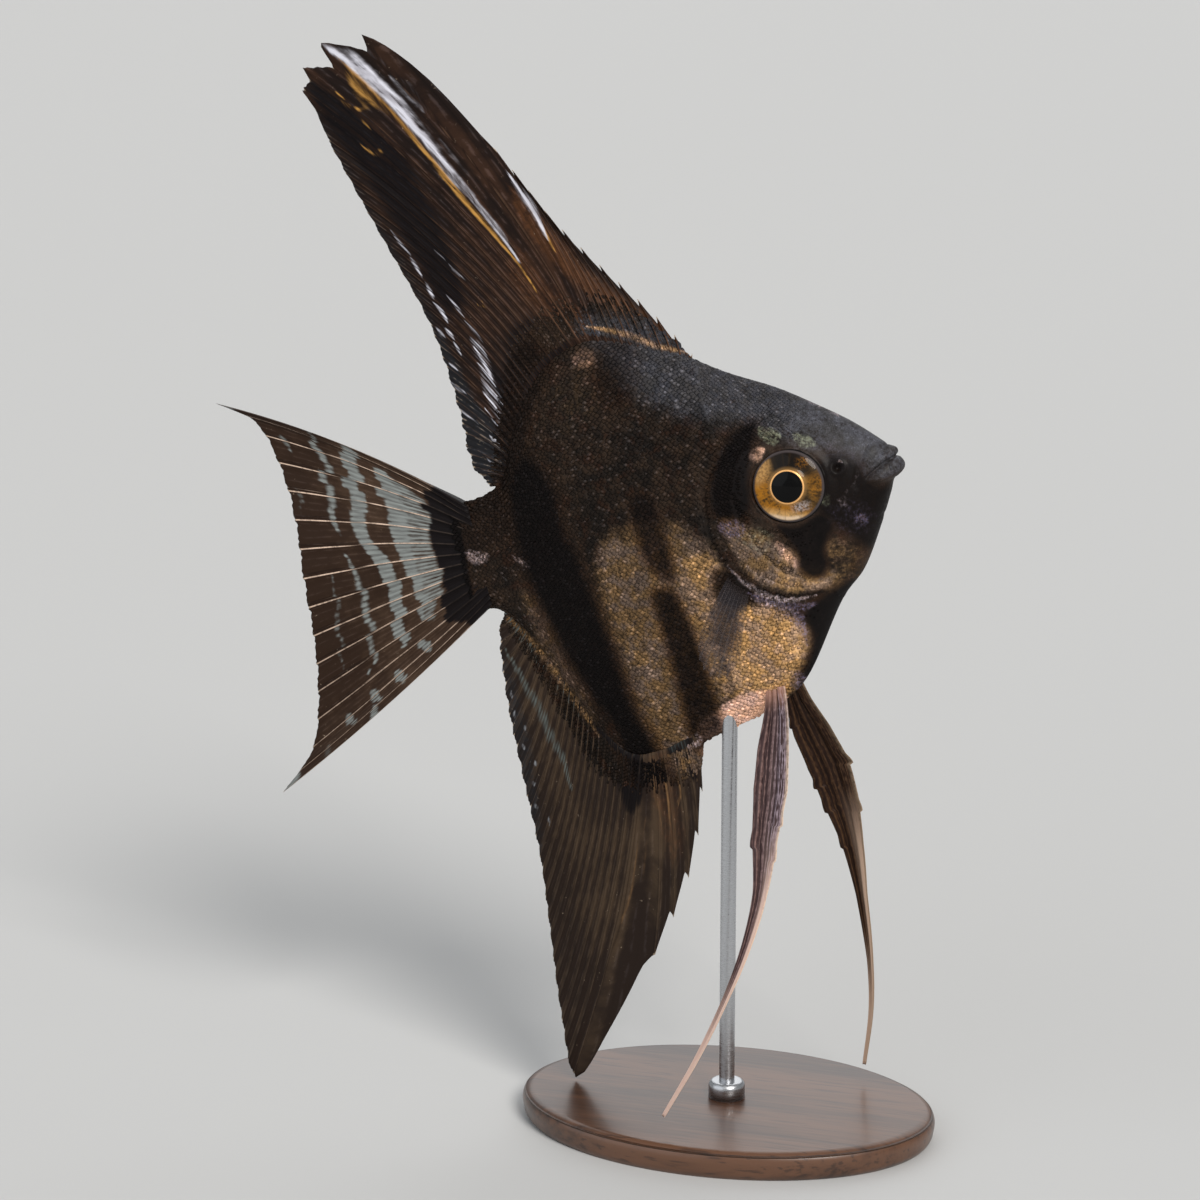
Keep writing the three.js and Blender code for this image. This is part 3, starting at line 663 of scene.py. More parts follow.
@dataclass(frozen=True)
class FinSkin(Finish):
    """Skin of a fin: pleated along its rays, with fine fibres between them and streaks of colour."""

    roughness: float = 0.5
    specular: float = 0.09
    valley: Colour = (0.0105, 0.0056, 0.0042)
    ridge: Colour = (0.041, 0.0190, 0.0105)
    ray: Colour = (0.115, 0.066, 0.040)
    ray_strength: float = 0.45
    pleated: float = 0.5
    strands: float = 3.0
    fineness: float = 0.7  # contrast of the strands
    low_rays: float = 1.0  # strength of the rays after the twelfth
    tip_shade: float = 0.35
    streak: Colour = (0.72, 0.72, 0.80)
    gold: Colour = (0.52, 0.27, 0.065)
    teal: Colour = (0.10, 0.115, 0.108)
    rust: Colour = (0.115, 0.046, 0.018)
    grey: Colour = (0.022, 0.023, 0.027)
    tip: Colour = (0.46, 0.36, 0.26)
    black: Colour = (0.0035, 0.0022, 0.0028)

    def varying(self, graph: Graph) -> dict[str, Any]:
        """Colour and fine relief of the fin."""
        place = self.place(graph)
        ray, reach, rib = graph.split(graph.attribute("fin", "Vector"))
        span = graph.attribute("span")
        drift = graph.noise(graph.join(ray * 0.8, span * 0.11, 9.0), 1.0, 2)
        strand = graph.math("COSINE", (ray * self.strands + drift * 0.7) * math.tau)
        strand = strand * (0.5 * self.fineness) + 0.5
        fibre = graph.noise(graph.join(ray * 8.3, span * 0.3, 0.0), 1.0, 2, 0.55)
        dash = graph.noise(graph.join(ray * 3.3, span * 0.55, 5.0), 1.0, 3, 0.6)
        grain = graph.noise(place, 1.9, 3, 0.65)
        broad = graph.noise(place, 0.12, 3)
        pleat = graph.math("COSINE", ray * math.tau) * 0.5 + 0.5
        level = pleat * self.pleated + (broad - 0.5) * 1.5 + (dash - 0.5) * 0.8 + (1 - self.pleated) * 0.5
        level = level + (strand - 0.5) * 0.22 - graph.smooth(reach, 0.35, 1.0) * self.tip_shade
        colour = graph.mix(graph.smooth(level, 0.0, 1.0), self.valley, self.ridge)
        for mark, tint in ((Mark.RUST, self.rust), (Mark.CLEAR, self.grey)):
            cover = graph.attribute(mark.value) * (1 + (dash - 0.5) * 2 + (grain - 0.5) * 1.6)
            colour = graph.mix(graph.smooth(cover, 0.1, 0.95) * 0.92, colour, graph.mix(
                pleat * 0.6 + strand * 0.2, graph.mix(1.0, tint, (0.4, 0.4, 0.4), "MULTIPLY"), tint))
        comb = (dash - 0.5) * 0.8 + (strand - 0.5) * 0.5
        dark = graph.smooth(graph.attribute(Mark.DARK.value) + comb, 0.25, 0.8)
        colour = graph.mix(dark * 0.97, colour, self.black)
        # Painted shade in the grooves beside each ray and between the fine strands.
        groove_shade = graph.smooth(rib, 0.03, 0.2) * graph.smooth(rib, 0.5, 0.22) + graph.smooth(strand, 0.3, 0.05)
        deep = graph.mix(1.0, colour, (0.38, 0.35, 0.34), "MULTIPLY")
        colour = graph.mix(graph.math("MINIMUM", groove_shade * 0.6, 1.0), colour, deep)
        # Painted glints of light along the crests of the fine strands.
        lit = graph.smooth(strand, 0.62, 0.96) * graph.smooth(dash + fibre, 0.92, 1.14) * (1 - dark * 0.7)
        colour = graph.mix(lit * 0.8, colour, self.glow(graph, colour))
        curl = graph.smooth(strand, 0.7, 0.95) * graph.smooth(dash, 0.5, 0.62)
        curl = curl * graph.attribute(Mark.CLEAR.value)
        colour = graph.mix(curl * 0.5, colour, self.tip)
        beads = graph.smooth(dash * 0.6 + grain * 0.4, 0.36, 0.56, 0.35, 1)
        crest = graph.smooth(rib, 0.35, 0.85) * beads * (1 - dark * 0.96) * graph.smooth(span, 0.4, 3.5)
        crest = crest * graph.smooth(ray, 7.0, 12.0, 1, self.low_rays) * graph.smooth(ray, 0.5, 1.4, 0.12, 1)
        colour = graph.mix(crest * self.ray_strength, colour, self.ray)
        spark = graph.smooth(grain, 0.66, 0.72) * graph.smooth(dash, 0.5, 0.62) * (1 - dark)
        colour = graph.mix(spark * 0.4, colour, self.tip)
        uneven = (strand - 0.5) * 0.9 + (fibre - 0.5) * 1.3 + (dash - 0.5) * 1.5
        for mark, tint in ((Mark.TEAL, self.teal), (Mark.OLIVE, self.gold), (Mark.STREAK, self.streak)):
            cover = graph.attribute(mark.value)
            cover = cover * (1 + uneven) + graph.smooth(cover, 0.85, 1.0, 0, 0.35)
            rich = graph.mix(graph.smooth(fibre * 0.5 + strand * 0.25, 0.24, 0.52),
                             graph.mix(1.0, tint, (0.52, 0.50, 0.50), "MULTIPLY"), tint)
            keep = 1 - graph.smooth(rib, 0.35, 0.8) * self.ray_strength * 0.85
            colour = graph.mix(graph.smooth(cover, 0.12, 0.88) * 0.95 * keep, colour, rich)
        edge = graph.smooth(graph.attribute("edge"), 0.42, 0.1) * graph.smooth(rib, 0.15, 0.6)
        colour = graph.mix(edge * 0.8, colour, self.tip)
        joints = graph.smooth(graph.math("SINE", span * 9.0), 0.6, 1) * rib
        height = rib * 0.5 + pleat * 0.3 + strand * 0.25 + fibre * 0.3 - joints * 0.3
        return {"Base Color": colour, "Normal": self.bumped(graph, height, 0.45, 0.0001)}


@dataclass(frozen=True)
class PelvicSkin(Finish):
    """Skin of a pelvic fin: pale rays on brown, a cream front edge and a pale filament."""

    roughness: float = 0.42
    specular: float = 0.12
    brown: Colour = (0.048, 0.027, 0.028)
    rear_ray: Colour = (0.24, 0.145, 0.130)
    ray: Colour = (0.42, 0.33, 0.38)
    edge: Colour = (0.80, 0.60, 0.46)
    filament: Colour = (0.62, 0.44, 0.37)
    root: Colour = (0.46, 0.24, 0.17)

    def varying(self, graph: Graph) -> dict[str, Any]:
        """Colour and fine relief of the fin."""
        place = self.place(graph)
        across, reach, rib = graph.split(graph.attribute("fin", "Vector"))
        grain = graph.noise(place, 1.7, 3, 0.6)
        long = graph.noise(graph.join(across * 16, reach * 30, 0.0), 1.0, 2)
        strand = graph.math("COSINE", (across * 8 + long * 1.4) * math.tau) * 0.5 + 0.5
        colour = graph.mix(graph.smooth(long, 0.4, 0.62, 0, 0.6), self.brown, graph.mix(
            1.0, self.brown, (0.4, 0.36, 0.36), "MULTIPLY"))
        dots = graph.smooth(graph.math("SINE", reach * 260), 0.2, 0.8, 0.8, 1)
        line = graph.math("MAXIMUM", graph.smooth(strand, 0.5, 0.95) * 0.65, graph.smooth(rib, 0.6, 0.95))
        line = line * dots * graph.smooth(grain * 0.5 + long * 0.5, 0.38, 0.56, 0.3, 0.95)
        colour = graph.mix(line, colour, graph.mix(graph.smooth(across, 0.3, 0.75), self.rear_ray, self.ray))
        narrow = graph.math("MAXIMUM", graph.smooth(across, 0.4, 0.75), graph.smooth(reach, 0.7, 0.92))
        colour = graph.mix(graph.smooth(reach, 0.4, 0.62, 0, 0.9) * narrow, colour, self.filament)
        colour = graph.mix(graph.smooth(reach, 0.12, 0.0) * 0.75, colour, self.root)
        front = graph.smooth(across, 0.87, 0.97) * graph.smooth(grain, 0.3, 0.55, 0.4, 1)
        front = front * graph.smooth(reach, 0.1, 0.35, 0.4, 1)
        colour = graph.mix(front * 0.85, colour, self.edge)
        height = rib * 0.5 + strand * 0.3 + long * 0.3 + dots * rib * 0.2
        return {"Base Color": colour, "Normal": self.bumped(graph, height, 0.4, 0.00009)}


@dataclass(frozen=True)
class ClearSkin(Finish):
    """Clear membrane between fine pale rays."""

    roughness: float = 0.5
    specular: float = 0.1
    membrane: Colour = (0.040, 0.036, 0.044)
    ray: Colour = (0.085, 0.075, 0.078)
    root: Colour = (0.020, 0.012, 0.009)

    def varying(self, graph: Graph) -> dict[str, Any]:
        """Colour and see-through of the fin."""
        _, reach, rib = graph.split(graph.attribute("fin", "Vector"))
        line = graph.smooth(rib, 0.3, 0.8)
        near_root = graph.smooth(reach, 0.3, 0.0, 0, 0.4)
        alpha = graph.math("MINIMUM", line * 0.1 + near_root * 0.5 + 0.2, 1.0)
        colour = graph.mix(near_root * 2.2, graph.mix(line, self.membrane, self.ray), self.root)
        return {"Base Color": colour, "Alpha": alpha}


@dataclass(frozen=True)
class EyeGlass(Finish):
    """A golden iris with a black pupil, under clear glass, with painted highlights and a painted reflection.
    """

    roughness: float = 0.4
    coat: float = 0.16
    coat_roughness: float = 0.04
    specular: float = 0.08
    bronze: Colour = (0.115, 0.064, 0.018)
    brown: Colour = (0.036, 0.020, 0.007)
    gold: Colour = (0.42, 0.165, 0.011)
    amber: Colour = (0.50, 0.27, 0.09)
    shade: Colour = (0.006, 0.004, 0.003)
    straw: Colour = (0.82, 0.50, 0.20)
    silver: Colour = (0.50, 0.46, 0.47)
    rim: Colour = (0.060, 0.048, 0.048)

    def varying(self, graph: Graph) -> dict[str, Any]:
        """Colour and gloss of the eye."""
        x, _, z = graph.split(graph.attribute("eye", "Vector"))
        away = graph.math("SQRT", x * x + z * z)
        turn = graph.vector("NORMALIZE", graph.join(x, 0.0, z))
        rays = graph.noise(turn, 9.0, 3, 0.65)
        place = graph.join(x, 0.0, z)
        cloud = graph.noise(place, 0.62, 3, 0.6)
        fine = graph.noise(place, 3.2, 3, 0.6)
        mottle = rays * 0.25 + cloud * 0.45 + fine * 0.3
        colour = graph.mix(graph.smooth(mottle, 0.4, 0.6), self.brown, self.bronze)
        low = graph.smooth(z * 0.85 + x, 0.6, -3.0) * graph.smooth(mottle, 0.4, 0.56, 0.05, 0.95)
        colour = graph.mix(low, colour, self.gold)
        front = graph.smooth(x, 2.2, 3.4) * graph.smooth(abs(z + 0.8), 2.6, 0.6)
        colour = graph.mix(front * graph.smooth(mottle, 0.42, 0.58, 0.05, 0.6), colour, self.gold)
        # Painted highlight: a cream glow over the lower iris.
        base = graph.smooth(z + x * 0.35, -2.9, -4.3) * graph.smooth(mottle, 0.38, 0.52, 0.45, 1)
        colour = graph.mix(base * 0.75, colour, self.straw)
        behind = graph.smooth(z * 0.8 - x, 3.0, 5.0) * graph.smooth(z, 0.2, 1.8)
        colour = graph.mix(behind * graph.smooth(fine, 0.35, 0.6, 0.4, 0.9), colour, self.amber)
        top = graph.smooth(z + x * 0.3, 0.9, 2.3) * graph.smooth(x + z * 0.2, -1.5, -0.4)
        colour = graph.mix(top * graph.smooth(x, 4.4, 2.0, 0.55, 0.98), colour, self.shade)
        # Painted highlight: a small gold gleam at the upper front of the iris.
        gleam_highlight = graph.smooth(abs(x - 2.6), 1.2, 0.2) * graph.smooth(abs(z - 2.7), 1.1, 0.2)
        colour = graph.mix(gleam_highlight * graph.smooth(fine, 0.42, 0.6, 0.0, 0.3), colour, self.gold)
        # Painted reflection: a silver sheen low on the iris.
        painted_sheen = graph.smooth(abs(x - 1.1), 1.7, 0.3) * graph.smooth(abs(z + 3.0), 0.9, 0.2)
        colour = graph.mix(painted_sheen * graph.smooth(fine, 0.4, 0.6, 0.1, 0.75), colour, self.silver)
        # Painted highlight: a pale crescent along the lower rear edge of the eye.
        crescent_highlight = graph.smooth(away, 3.8, 4.3) * graph.smooth(z + x * 0.25, -3.6, -4.3)
        crescent_highlight = crescent_highlight * graph.smooth(x, 1.6, 0.2)
        colour = graph.mix(crescent_highlight * 0.8, colour, (0.95, 0.72, 0.5))
        spokes = graph.smooth(rays, 0.5, 0.66, 0, 0.3) * graph.smooth(away, 2.4, 3.2)
        colour = graph.mix(spokes, colour, self.brown)
        colour = graph.mix(graph.smooth(away, 2.9, 2.35, 0, 0.35), colour, self.amber)
        ring = graph.smooth(away, 2.38, 2.27) * graph.smooth(fine, 0.2, 0.5, 0.7, 1)
        colour = graph.mix(ring, colour, (0.86, 0.46, 0.17))
        colour = graph.mix(graph.smooth(away, 4.4, 4.7), colour, self.rim)
        colour = graph.mix(graph.smooth(away, 4.78, 4.9), colour, (0.002, 0.002, 0.002))
        colour = graph.mix(graph.smooth(away, 2.17, 2.08), colour, (0.0004, 0.0004, 0.0004))
        metal = graph.smooth(away, 2.1, 2.2) * graph.smooth(away, 4.7, 4.5) * 0.3
        return {"Base Color": colour, "Metallic": metal}


@dataclass(frozen=True)
class Wood(Finish):
    """Dark stained wood under a satin varnish."""

    roughness: float = 0.38
    coat: float = 0.3
    coat_roughness: float = 0.2
    light: Colour = (0.115, 0.050, 0.024)
    dark: Colour = (0.035, 0.015, 0.008)

    def varying(self, graph: Graph) -> dict[str, Any]:
        """Colour and pores of the wood, with the grain along X."""
        coordinates = graph.call("ShaderNodeTexCoord", key="Object")
        long = graph.vector("MULTIPLY", coordinates, (120.0, 1500.0, 1500.0))
        figure = graph.noise(graph.vector("MULTIPLY", coordinates, (14.0, 170.0, 170.0)), 1.0, 3, 0.6)
        pores = graph.noise(long, 1.0, 2, 0.6)
        colour = graph.mix(graph.smooth(figure * 0.7 + pores * 0.3, 0.34, 0.64), self.dark, self.light)
        colour = graph.mix(graph.smooth(pores, 0.42, 0.34, 0, 0.6), colour, self.dark)
        return {"Base Color": colour, "Normal": self.bumped(graph, pores, 0.25, 0.00008)}


@dataclass(frozen=True)
class Steel(Finish):
    """Brushed steel."""

    roughness: float = 0.32
    metallic: float = 1.0

    def varying(self, graph: Graph) -> dict[str, Any]:
        """Colour and brushing of the steel, round the rod."""
        coordinates = graph.call("ShaderNodeTexCoord", key="Object")
        lines = graph.noise(graph.vector("MULTIPLY", coordinates, (900.0, 900.0, 9000.0)), 1.0, 2, 0.6)
        return {"Base Color": graph.mix(lines, (0.42, 0.43, 0.45), (0.62, 0.63, 0.65)),
                "Roughness": graph.smooth(lines, 0.3, 0.7, 0.24, 0.4)}


@dataclass(frozen=True)
class Plain(Finish):
    """One even colour."""

    colour: Colour = (0.6, 0.6, 0.6)
    roughness: float = 0.8
    specular: float = 0.2

    def varying(self, graph: Graph) -> dict[str, Any]:
        """The colour."""
        return {"Base Color": self.colour}


# ---- Body ----


@dataclass(frozen=True)
class Eye:
    """Place and size of an eye; the y is the left eye's."""

    x: float = 18.4
    y: float = 4.6
    z: float = 0.2
    radius: float = 5.5
    half_depth: float = 2.6
    opening: float = 4.95  # radius that the skin leaves open
    pupil: float = 2.1

    def distance(self, x: Array, z: Array) -> Array:
        """Distance from the eye's axis."""
        return np.hypot(x - self.x, z - self.z)


EYE = Eye()

GILL_REAR_EDGE = ((11, 6), (7.9, 2.4), (7, -3.6), (7.9, -8.4), (11, -12.1), (15, -14.4), (20, -15.2))
HEAD_OUTLINE = ((8, 30), (10, 12), *GILL_REAR_EDGE, (21, -19), (40, -19), (40, 30))
PREOPERCLE = ((10.9, 1.5), (11.3, -2.6), (12.6, -6.6), (14.6, -10.2), (17.4, -12.6), (20.9, -13.1))


class Body:
    """The body's form: back, belly and width as functions of x, with sections drawn to an edge."""

    snout: float = 32.7
    tail_root: float = -31.5
    back = Profile((32.7, 0.9), (31.2, 2.8), (27, 6.9), (19.4, 12.7), (12, 17), (3.8, 22.6), (-5, 26.8),
                   (-11, 26), (-16.5, 22.3), (-20.6, 15.8), (-23.4, 9.8), (-26.6, 7.8), (-31.5, 7.4))
    belly = Profile((32.7, -0.3), (31.4, -2.6), (28.1, -8.2), (24.5, -13.4), (20.4, -17), (12.9, -26.7),
                    (7.4, -30), (-2, -32.5), (-10.5, -34.6), (-15.3, -34), (-19, -30.2), (-23.5, -19),
                    (-27, -11), (-29, -8.7), (-31.5, -8.2))
    middle = Profile((32.7, 0.4), (28, -1.4), (17, -1), (9, -1.5), (-5, -2.5), (-20, -1.5), (-31.5, -0.4))
    half_width = Profile((32.7, 0.9), (31, 2.3), (28, 3.7), (24, 5), (17, 6.3), (9, 6.6), (0, 6),
                         (-10, 4.7), (-20, 3.1), (-27, 2.1), (-31.5, 1.3))
    taper = Profile((32.7, 1), (24, 1.25), (10, 1.6), (-20, 1.7), (-27, 1.4), (-31.5, 1.1))

    def form(self, x: Array, angle: Array) -> Array:
        """Points of the left flank's plain form.

        Args:
            x: stations.
            angle: place round each section, from -90 degrees at the belly to 90 at the back.

        Returns:
            Points, with the coordinates on the last axis.
        """
        rise = np.sin(angle)
        middle = self.middle(x)
        reach = np.where(rise > 0, self.back(x) - middle, middle - self.belly(x))
        y = np.abs(np.cos(angle)) ** self.taper(x) * self.half_width(x)
        return np.stack([x + 0 * y, y, middle + reach * rise], axis=-1)

    def flank_y(self, x: Array, z: Array) -> Array:
        """Distance of the plain form from the middle plane at a place of the side view."""
        middle = self.middle(x)
        reach = np.where(z > middle, self.back(x) - middle, middle - self.belly(x))
        rise = np.clip((z - middle) / reach, -1, 1)
        return np.sqrt(1 - rise ** 2) ** self.taper(x) * self.half_width(x)

    def beyond(self, x: Array, z: Array) -> Array:
        """Distance outside the body's outline at places of the side view, negative inside it."""
        stations = np.linspace(self.snout, self.tail_root, 160)
        back, belly = (np.stack([stations, edge(stations)], axis=1) for edge in (self.back, self.belly))
        distance = np.minimum(segment_distance(x, z, back)[0], segment_distance(x, z, belly)[0])
        within = (z < self.back(x)) & (z > self.belly(x)) & (x > self.tail_root)
        return np.where(within, -distance, distance)

    def section_lengths(self, x: float, steps: int = 400) -> tuple[Array, Array]:
        """Angles round the left half of a section, and the length of the section up to each.

        Args:
            x: the station.
            steps: number of angles.

        Returns:
            The angles and the lengths from the belly's edge.
        """
        angles = np.linspace(-np.pi / 2, np.pi / 2, steps)
        points = self.form(np.full(steps, float(x)), angles)
        lengths = np.concatenate([[0], np.cumsum(np.linalg.norm(np.diff(points, axis=0), axis=1))])
        return angles, lengths


@dataclass(frozen=True)
class Crease:
    """A groove, or a ridge where height is positive, that follows a line over the flank."""

    line: Points
    height: float
    width: float

    def relief(self, x: Array, z: Array) -> Array:
        """Height of the crease at places of the side view."""
        distance, share = segment_distance(x, z, Curve(self.line, steps=6).samples)
        height = self.height * bump(distance, self.width)
        return height * smoothstep(0, 0.12, share) * smoothstep(1, 0.88, share)


@dataclass
class Skin:
    """The one skin of the head, the trunk and the tail, with the folds of the head."""

    body: Body = field(default_factory=Body)
    coat_depth: float = 0.1  # how far the scaled skin lies inside the solids
    ring_points: int = 264
    nose_start: float = 31.6
    nose_length: float = 1.25
    nose_rows: int = 46
    gill_step: float = 0.3
    creases: tuple[Crease, ...] = (
        Crease(PREOPERCLE, -0.16, 0.28),
        Crease(((12.1, 0.5), (12.4, -3), (13.7, -7), (15.6, -9.9), (18, -11.6), (21, -12)), 0.1, 0.45),
        Crease(((9.4, -7.6), (11.6, -10.2), (14.6, -12.6), (17.6, -13.8), (20.2, -14)), -0.1, 0.2),
        Crease(((29.9, 3.6), (28.6, 1.8), (27.5, -0.4), (27.1, -2.8)), -0.13, 0.4),
        Crease(((28, -2.2), (27.3, -3.8), (28, -5.8), (29.4, -7.4)), -0.1, 0.4),
        Crease(((27.9, 1.4), (27.6, -0.4), (26.4, -1.9), (24.4, -3.5), (22.8, -5.6)), -0.1, 0.35),
        Crease(((26.4, 3.8), (23.2, 6.2), (19.4, 8.2), (14.5, 8.4)), 0.07, 0.8),
        Crease(((12.6, 6.2), (10.4, 7.4), (7.4, 7.6)), -0.08, 0.4),
        Crease(((25.4, -8.3), (24.3, -11), (22.2, -13.6)), -0.09, 0.35),
        Crease(((7, 6.2), (0, 10.6), (-7, 12.6), (-13, 11), (-17, 7.2)), -0.05, 0.5),
        Crease(((-16, 0.2), (-22, -0.1), (-30, -0.4)), -0.05, 0.4),
    )
    nostril: Point = (25.4, 1.1)
    nostril_radius: float = 0.42
    pectoral_base: Point = (8.5, -11.2)
    mouth_line: Profile = field(default_factory=lambda: Profile(
        (33.2, 0.62), (32.4, 0.55), (31.1, 0.1), (28.7, -1.1), (27.5, -1.6)))
    _gill: Array = field(default_factory=lambda: Curve(GILL_REAR_EDGE, steps=10).samples)
    _head: Array = field(default_factory=lambda: np.array(HEAD_OUTLINE, float))

    def lips(self, x: Array, z: Array) -> Array:
        """Height of the two rolls of the lips and depth of the cleft between them."""
        offset = z - self.mouth_line(x)
        size = 0.55 + 0.45 * smoothstep(28.4, 31.8, x)
        rolls = 0.17 * hump(offset / (1.6 * size)) + 0.52 * hump(-offset / (2.9 * size))
        seams = -0.1 * bump(offset - 1.8 * size, 0.4) - 0.1 * bump(offset + 3.1 * size, 0.6)
        cleft = -0.42 * bump(offset, 0.24) * smoothstep(28.3, 29.2, x)
        return (rolls + seams) * smoothstep(28, 30.2, x) + cleft

    def relief(self, x: Array, z: Array) -> Array:
        """Height of the skin above the body's plain form.

        Args:
            x: places of the side view.
            z: places of the side view.

        Returns:
            The heights, square to the form.
        """
        coated = smoothstep(25.5, 20, x - 0.25 * z) * smoothstep(5.2, 8, EYE.distance(x, z))
        height = -self.coat_depth * coated - 0.02
        for crease in self.creases:
            height = height + crease.relief(x, z)
        height = height + self.lips(x, z)
        away = EYE.distance(x, z)
        height = height + 0.16 * bump(away - 5.5, 0.5) - 0.07 * bump(away - 6.7, 0.4)
        height = height - 2.2 * smoothstep(EYE.opening, EYE.opening - 0.7, away)
        pit = np.hypot(x - self.nostril[0], z - self.nostril[1])
        height = height - 0.5 * bump(pit, self.nostril_radius) + 0.14 * bump(pit - 0.85, 0.28)
        lobe = np.hypot(x - self.pectoral_base[0], (z - self.pectoral_base[1]) * 0.8)
        height = height + 0.3 * bump(lobe, 1.2)
        distance, _ = segment_distance(x, z, self._gill)
        within = inside(x, z, self._head)
        plate = np.where(within, self.gill_step * bump(distance, 2.2), -0.16 * bump(distance, 0.8))
        edge_share = smoothstep(6.5, 3.5, z) * smoothstep(21.5, 19, x)
        return height + plate * edge_share * smoothstep(0, 0.12, distance)

    def flank(self, x: Array, angle: Array) -> tuple[Array, Array]:
        """Points and outward directions of the finished left flank.

        Args:
            x: stations.
            angle: places round the sections.

        Returns:
            The points and the unit normals of the plain form.
        """
        step_x, step_angle = 0.02, 0.002
        along = self.body.form(x + step_x, angle) - self.body.form(x - step_x, angle)
        around = self.body.form(x, angle + step_angle) - self.body.form(x, angle - step_angle)
        normal = unit(np.cross(around, along))
        points = self.body.form(x, angle)
        return points + normal * self.relief(points[..., 0], points[..., 2])[..., None], normal

    def stations(self) -> Array:
        """The x of every ring behind the nose, closest where the shape changes fastest."""
        x = np.linspace(self.nose_start, self.body.tail_root, 2000)
        spacing = np.interp(x, [-29.5, -27.5, -21, -19, 0, 6, 30, 31.6],
                            [0.45, 0.2, 0.2, 0.45, 0.45, 0.155, 0.13, 0.08])
        count = np.concatenate([[0], np.cumsum(np.abs(np.diff(x)) / spacing[1:])])
        return np.interp(np.linspace(0, count[-1], int(count[-1])), count, x)

    def mesh(self) -> Mesh:
        """Builds the skin as rings from the snout to the tail, closed at both ends.

        Returns:
            The mesh, in the model's frame.
        """
        half = self.ring_points // 2
        stations = self.stations()
        angles = np.empty((len(stations), half))
        for row, x in enumerate(stations):
            at, lengths = self.body.section_lengths(x)
            angles[row] = np.interp((np.arange(half) + 0.5) / half * lengths[-1], lengths, at)
        left = self.body.form(np.repeat(stations[:, None], half, axis=1), angles)
        left = np.concatenate([self._nose(left[0]), left])
        rings = np.concatenate([left, left[:, ::-1] * (1, -1, 1)], axis=1)
        around = np.roll(rings, -1, axis=1) - np.roll(rings, 1, axis=1)
        normal = unit(np.cross(np.gradient(rings, axis=0), around))
        rings = rings + normal * self.relief(rings[..., 0], rings[..., 2])[..., None]
        rings = self._open_eye(rings)
        points = np.vstack([rings.reshape(-1, 3), rings[0].mean(axis=0), rings[-1].mean(axis=0)])
        return make_mesh("body_skin", FISH.place(points), tube_faces(*rings.shape[:2]), flip=True)

    def _nose(self, first: Array) -> Array:
        """Rows of the round front of the snout, from its tip back to the first ring."""
        centre = first.mean(axis=0) * (1, 0, 1)
        turn = np.radians(np.concatenate([[89], np.linspace(87, 4, self.nose_rows - 1)]))[:, None, None]
        return centre + (first - centre) * np.cos(turn) + np.array([self.nose_length, 0, 0]) * np.sin(turn)

    @staticmethod
    def _open_eye(points: Array) -> Array:
        """Moves the points beside the eye's opening onto its circle, for a clean round edge."""
        x, z = points[..., 0] - EYE.x, points[..., 2] - EYE.z
        away = np.hypot(x, z)
        close = np.abs(away - EYE.opening) < 0.12
        scale = np.where(close, EYE.opening / np.maximum(away, 1e-6), 1)
        moved = points.copy()
        moved[..., 0] = EYE.x + x * scale
        moved[..., 2] = EYE.z + z * scale
        return moved


# ---- Markings ----


@dataclass(frozen=True)
class Patch:
    """A patch of one mark inside a closed outline; soft is the width of its edge."""

    mark: Mark
    outline: Points
    soft: float = 1.0
    strength: float = 1.0


@dataclass(frozen=True)
class Stroke:
    """A line of one mark, widest in its middle."""

    mark: Mark
    line: Points
    width: float
    strength: float = 1.0


def patches(mark: Mark, *rows: tuple[Any, ...]) -> tuple[Patch, ...]:
    """Patches of one mark, each from the width of its edge, its strength and its outline."""
    return tuple(Patch(mark, tuple(outline), soft, strength) for soft, strength, *outline in rows)


def strokes(mark: Mark, *rows: tuple[Any, ...]) -> tuple[Stroke, ...]:
    """Strokes of one mark, each from its width, its strength and its line."""
    return tuple(Stroke(mark, tuple(line), width, strength) for width, strength, *line in rows)


